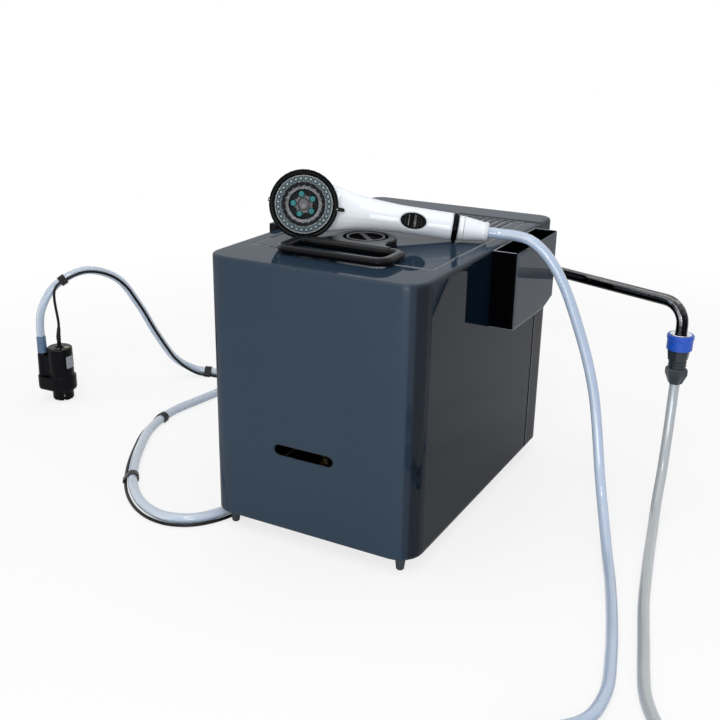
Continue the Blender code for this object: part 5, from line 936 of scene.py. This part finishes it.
def add_cord(name, path, radius, material, sides):
    """A round curve along a path."""
    curve = bpy.data.curves.new(name, "CURVE")
    curve.dimensions = "3D"
    curve.bevel_depth = radius
    curve.bevel_resolution = sides
    curve.use_fill_caps = True
    spline = curve.splines.new("POLY")
    spline.points.add(len(path) - 1)
    for point, at in zip(spline.points, path):
        point.co = (*(at + SHIFT), 1.0)
    spline.use_smooth = True
    curve.materials.append(material)
    item = bpy.data.objects.new(name, curve)
    bpy.context.scene.collection.objects.link(item)
    return item


COIL_X = 0.373
COIL_Y = -0.430
COIL_OUTER_R = 0.072
COIL_PITCH = 0.0128
COIL_TURNS = 2.5
COIL_LAYER = 0.0125
COIL_END = 0.0125  # the straight run at both ends of the coil
COIL_STEPS_PER_TURN = 48


def coil_points():
    """Inwards on the floor, then outwards on top of it."""
    total = COIL_TURNS * 2 * math.pi
    middle = total / 2
    steps = round(COIL_TURNS * COIL_STEPS_PER_TURN)
    path = []
    for i in range(steps + 1):
        swept = total * i / steps
        inward = min(swept, total - swept)
        radius = COIL_OUTER_R - COIL_PITCH * inward / (2 * math.pi)
        climb = min(1.0, max(0.0, (swept - middle) / math.pi + 0.5))
        climb = climb * climb * (3 - 2 * climb)
        angle = math.pi + swept
        path.append(Vector((
            COIL_X + radius * math.cos(angle), COIL_Y + radius * math.sin(angle),
            HOSE_REST + COIL_LAYER * climb,
        )))
    return path


NUT_AHEAD = (GRIP.to_3x3() @ Vector((1, 0, 0))).normalized()
NUT_END = GRIP @ Vector((REACH + 0.0375, 0, 0)) - SHIFT
SPOUT_TIP = Vector((0.310964, 0.138015, 0.1491))
SLEEVE_TOP = Vector((-0.575914, -0.009286, 0.0976))
INLET_END = Vector((-0.060, 0.229, 0.0677))
PUMP_LID = Vector((-0.553, 0.003, 0.0913))
PLUG_END = Vector((-0.015, 0.2227, 0.046))
HOSE_BEND = 0.049
CABLE_BESIDE = 0.0089  # from the hose's middle to the cable's
BESIDE_FROM = 0.075  # along the hose, from the pump
BESIDE_TO = 1.160
LIFTED_AT = 0.030  # from this height on the cable is level with the hose
COARSE = 0.008  # the steps of a hose
FINE = 0.004  # the steps of the cable


def shower_route():
    """From the hand shower's nut to the coil."""
    z = HOSE_REST
    coil_in = Vector((COIL_X - COIL_OUTER_R, COIL_Y + COIL_END, z))
    points = [NUT_END, NUT_END + NUT_AHEAD * 0.014]
    points += [
        (0.1405, 0.0215, 0.3298), (0.1580, 0.0225, 0.3265), (0.1735, 0.0240, 0.3155), (0.1870, 0.0265, 0.2985),
        (0.1990, 0.0290, 0.2770), (0.2090, 0.0310, 0.2540), (0.2180, 0.0325, 0.2310), (0.2265, 0.0335, 0.2080),
        (0.2350, 0.0340, 0.1820), (0.2425, 0.0335, 0.1550), (0.2490, 0.0310, 0.1250), (0.2555, 0.0255, 0.0950),
        (0.2620, 0.0170, 0.0700), (0.2695, 0.0050, 0.0490), (0.2780, -0.0110, 0.0320), (0.2875, -0.0320, 0.0185),
        (0.2975, -0.0570, 0.0092), (0.3085, -0.0870, z), (0.3210, -0.1260, z),
        (0.3345, -0.1720, z), (0.3490, -0.2280, z), (0.3590, -0.2820, z),
        (0.3540, -0.3250, z), (0.3280, -0.3560, z), (0.3060, -0.3830, z),
    ]
    points += [coil_in + Vector((0, COIL_END, 0)), coil_in]
    return smooth_route(points, COARSE)


def return_route():
    """From the coil to the tip of the spout."""
    z = HOSE_REST
    coil_out = Vector((COIL_X + COIL_OUTER_R, COIL_Y + COIL_END, z + COIL_LAYER))
    points = [coil_out, coil_out + Vector((0, COIL_END, 0))]
    points += [
        (0.4435, -0.3760, 0.0148), (0.4360, -0.3480, 0.0092),
        (0.4200, -0.3200, z), (0.4040, -0.2960, z), (0.3910, -0.2700, z),
        (0.3820, -0.2400, z), (0.3710, -0.1950, z),
        (0.3540, -0.1250, z), (0.3380, -0.0400, z), (0.3270, 0.0250, 0.0075),
        (0.3190, 0.0720, 0.0200), (0.3152, 0.1042, 0.0480), (0.3125, 0.1257, 0.0870),
    ]
    points += [SPOUT_TIP - Vector((0, 0.0008, 0.0180)), SPOUT_TIP]
    return smooth_route(points, COARSE)


def pump_route():
    """From the pump's sleeve to the water inlet."""
    z = HOSE_REST
    points = [SLEEVE_TOP, SLEEVE_TOP + Vector((0, 0, 0.014))]
    points += [
        (-0.5720, -0.0070, 0.1380), (-0.5590, 0.0110, 0.1720), (-0.5320, 0.0480, 0.1910), (-0.5060, 0.0850, 0.1740),
        (-0.4890, 0.1100, 0.1300), (-0.4750, 0.1320, 0.0780), (-0.4600, 0.1570, 0.0320), (-0.4400, 0.1810, 0.0105),
        (-0.4120, 0.1960, z), (-0.3820, 0.1920, z), (-0.3620, 0.1700, z), (-0.3560, 0.1370, z),
        (-0.3620, 0.0850, z), (-0.3680, 0.0300, z), (-0.3560, -0.0310, z), (-0.3280, -0.0870, z),
        (-0.2920, -0.1430, z), (-0.2550, -0.1860, z), (-0.2130, -0.2150, z), (-0.1750, -0.2230, z),
        (-0.1440, -0.2090, z), (-0.1260, -0.1790, z), (-0.1170, -0.1400, z), (-0.1070, -0.0950, z),
        (-0.0930, -0.0350, z), (-0.0790, 0.0250, z), (-0.0690, 0.0850, z),
        (-0.0620, 0.1300, z),
    ]
    bend = arc(INLET_END.y - HOSE_BEND, z + HOSE_BEND, HOSE_BEND, -90, 0, 4)
    points += [(INLET_END.x, y, height) for y, height in bend]
    points += [INLET_END]
    return smooth_route(points, COARSE)


def right_of(ahead):
    """The level direction to the right of a heading."""
    return Vector((ahead.y, -ahead.x, 0)).normalized()


def cable_route(hose):
    """From the pump to the socket, beside the hose for most of its way."""
    z = CABLE_REST
    beside = []
    travelled = 0.0
    for n, (before, at, after) in enumerate(zip(hose, hose[1:], hose[2:])):
        travelled += (at - before).length
        if n % 3 or not BESIDE_FROM < travelled < BESIDE_TO:
            continue
        spot = at + right_of(after - before) * CABLE_BESIDE
        lifted = min(1.0, (at.z - HOSE_REST) / LIFTED_AT)
        spot.z -= (HOSE_REST - CABLE_REST) * (1 - lifted)
        beside.append(spot)
    points = [PUMP_LID, PUMP_LID + Vector((0, 0, 0.006)), PUMP_LID + Vector((0.0015, 0.001, 0.024))]
    points += beside
    points += [(-0.060, 0.020, z), (-0.036, 0.080, z), (-0.020, 0.140, z), (PLUG_END.x, 0.190, z)]
    points += [
        (PLUG_END.x, PLUG_END.y + 0.004, 0.0030), (PLUG_END.x, PLUG_END.y + 0.0225, 0.0105),
        (PLUG_END.x, PLUG_END.y + 0.0285, 0.0240), (PLUG_END.x, PLUG_END.y + 0.0225, 0.0375),
    ]
    points += [PLUG_END + Vector((0, 0.006, 0)), PLUG_END]
    return smooth_route(points, FINE)


RELIEF_WIDE = 0.0034
RELIEF_NARROW = 0.0023
RELIEF_LENGTH = 0.022


def strain_relief(name, path):
    """A tapered sleeve with ribs over the first stretch of the cable."""
    stretch = [path[0]]
    travelled = 0.0
    for a, b in zip(path, path[1:]):
        travelled += (b - a).length
        if travelled > RELIEF_LENGTH:
            break
        stretch.append(b)
    fine = resample(stretch, 0.0010)
    radii = []
    for n in range(len(fine)):
        share = n / (len(fine) - 1)
        rib = 0.12 if n % 4 in (1, 2) and 0.1 < share < 0.9 else 0.0
        radii.append((RELIEF_WIDE + (RELIEF_NARROW - RELIEF_WIDE) * share) * (1 + rib))
    bm = bmesh.new()
    drawn(bm, [at + SHIFT for at in fine], radii, 16)
    return add_piece(name, bm, "heater", "cable")


def make_cords():
    """The shower's two hoses, the pump's hose and its cable."""
    back = resample(return_route(), 0.006)
    shower = resample(shower_route() + coil_points() + back[:1], COARSE)
    hose = add_cord("shower_hose_long", shower, HOSE_R, LOOKS["hose_shower"], 6)
    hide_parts("shower_hose", "hose_coil")
    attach(hose, "heater")
    shifted = [at + SHIFT for at in back]
    bm = bmesh.new()
    drawn(bm, shifted, [HOSE_R] * len(shifted), 20)
    hose = make_object("return_hose_long", bm, "hose_shower")
    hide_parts("return_hose")
    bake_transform(hose)
    feed = pump_route()
    hose = add_cord("pump_hose_long", feed, HOSE_R, LOOKS["hose_feed"], 6)
    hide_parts("pump_hose")
    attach(hose, "heater")
    lead = cable_route(feed)
    boot = strain_relief("cable_boot", lead)
    tail = strain_relief("plug_relief", lead[::-1])
    cable = add_cord("pump_cable_long", lead, CABLE_R, LOOKS["cable"], 4)
    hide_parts("pump_cable")
    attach(cable, "heater")


make_cords()


# ---- floor, world and lamps

FLOOR_SIZE = 14.0
FLOOR_Z = -0.0003
NEAR = 0.75  # up to this distance, NEAR_GLOW of the floor is plain white and the rest has light and shadow
FAR = 1.30  # from this distance on, all of it is plain white
NEAR_GLOW = 0.76


def combined(tree, operation, a, b):
    """The result of a math node with two sockets going into it."""
    node = tree.nodes.new("ShaderNodeMath")
    node.operation = operation
    tree.links.new(a, node.inputs[0])
    tree.links.new(b, node.inputs[1])
    return node.outputs["Value"]


def shaded(tree, share, below, above):
    """One shader over another."""
    mix = tree.nodes.new("ShaderNodeMixShader")
    tree.links.new(share, mix.inputs["Fac"])
    tree.links.new(below, mix.inputs[1])
    tree.links.new(above, mix.inputs[2])
    return mix.outputs["Shader"]


def make_floor():
    """Pale floor, which the camera sees turn white with distance."""
    mesh = bpy.data.meshes.new("floor")
    bm = bmesh.new()
    bmesh.ops.create_grid(bm, x_segments=8, y_segments=8, size=FLOOR_SIZE)
    bm.to_mesh(mesh)
    bm.free()
    floor = bpy.data.objects.new("floor", mesh)
    floor.location = (0, 0, FLOOR_Z)
    bpy.context.scene.collection.objects.link(floor)
    look = Look("floor_pale", (0.96, 0.96, 0.965), 0.6, specular=0.1)
    look.grain(look.noise(60.0, 3.0), 0.02, 0.0006)
    tree = look.tree
    path = tree.nodes.new("ShaderNodeLightPath")
    glow = tree.nodes.new("ShaderNodeEmission")
    glow.inputs["Color"].default_value = (1, 1, 1, 1)
    away = tree.nodes.new("ShaderNodeVectorMath")
    away.operation = "LENGTH"
    tree.links.new(look.place.outputs["Object"], away.inputs[0])
    fade = ranged(tree, away.outputs["Value"], NEAR, FAR, NEAR_GLOW)
    seen = combined(tree, "MAXIMUM", path.outputs["Is Camera Ray"], path.outputs["Is Transmission Ray"])
    share = combined(tree, "MULTIPLY", seen, fade)
    out = shaded(tree, share, look.shader.outputs["BSDF"], glow.outputs["Emission"])
    tree.links.new(out, tree.nodes["Material Output"].inputs["Surface"])
    mesh.materials.append(look.material)


def make_world():
    """Soft white light, and full white where the camera, a reflection or a clear piece sees it."""
    world = bpy.data.worlds.new("studio")
    bpy.context.scene.world = world
    world.use_nodes = True
    tree = world.node_tree
    plain = tree.nodes["Background"]
    plain.inputs["Color"].default_value = (1, 1, 1, 1)
    plain.inputs["Strength"].default_value = 0.55
    seen = tree.nodes.new("ShaderNodeBackground")
    seen.inputs["Color"].default_value = (1, 1, 1, 1)
    seen.inputs["Strength"].default_value = 1.0
    path = tree.nodes.new("ShaderNodeLightPath")
    share = combined(tree, "MAXIMUM", path.outputs["Is Camera Ray"], path.outputs["Is Glossy Ray"])
    share = combined(tree, "MAXIMUM", share, path.outputs["Is Transmission Ray"])
    out = shaded(tree, share, plain.outputs["Background"], seen.outputs["Background"])
    tree.links.new(out, tree.nodes["World Output"].inputs["Surface"])


LAMP_AIM = Vector((0, 0, 0.15))


def add_lamp(name, place, size, power):
    """A square lamp that faces the part."""
    data = bpy.data.lights.new(name, "AREA")
    data.shape = "RECTANGLE"
    data.size = size
    data.size_y = size
    data.energy = power
    item = bpy.data.objects.new(name, data)
    item.location = place
    item.rotation_euler = (LAMP_AIM - Vector(place)).to_track_quat("-Z", "Y").to_euler()
    bpy.context.scene.collection.objects.link(item)


make_floor()
make_world()
add_lamp("lamp_over", (-0.3, -0.2, 2.6), 2.4, 17.0)
add_lamp("lamp_key", (0.5, -1.9, 2.3), 0.55, 14.0)
add_lamp("lamp_front", (0.65, -1.6, 0.38), 0.7, 9.0)
bpy.context.scene.view_settings.view_transform = "Standard"
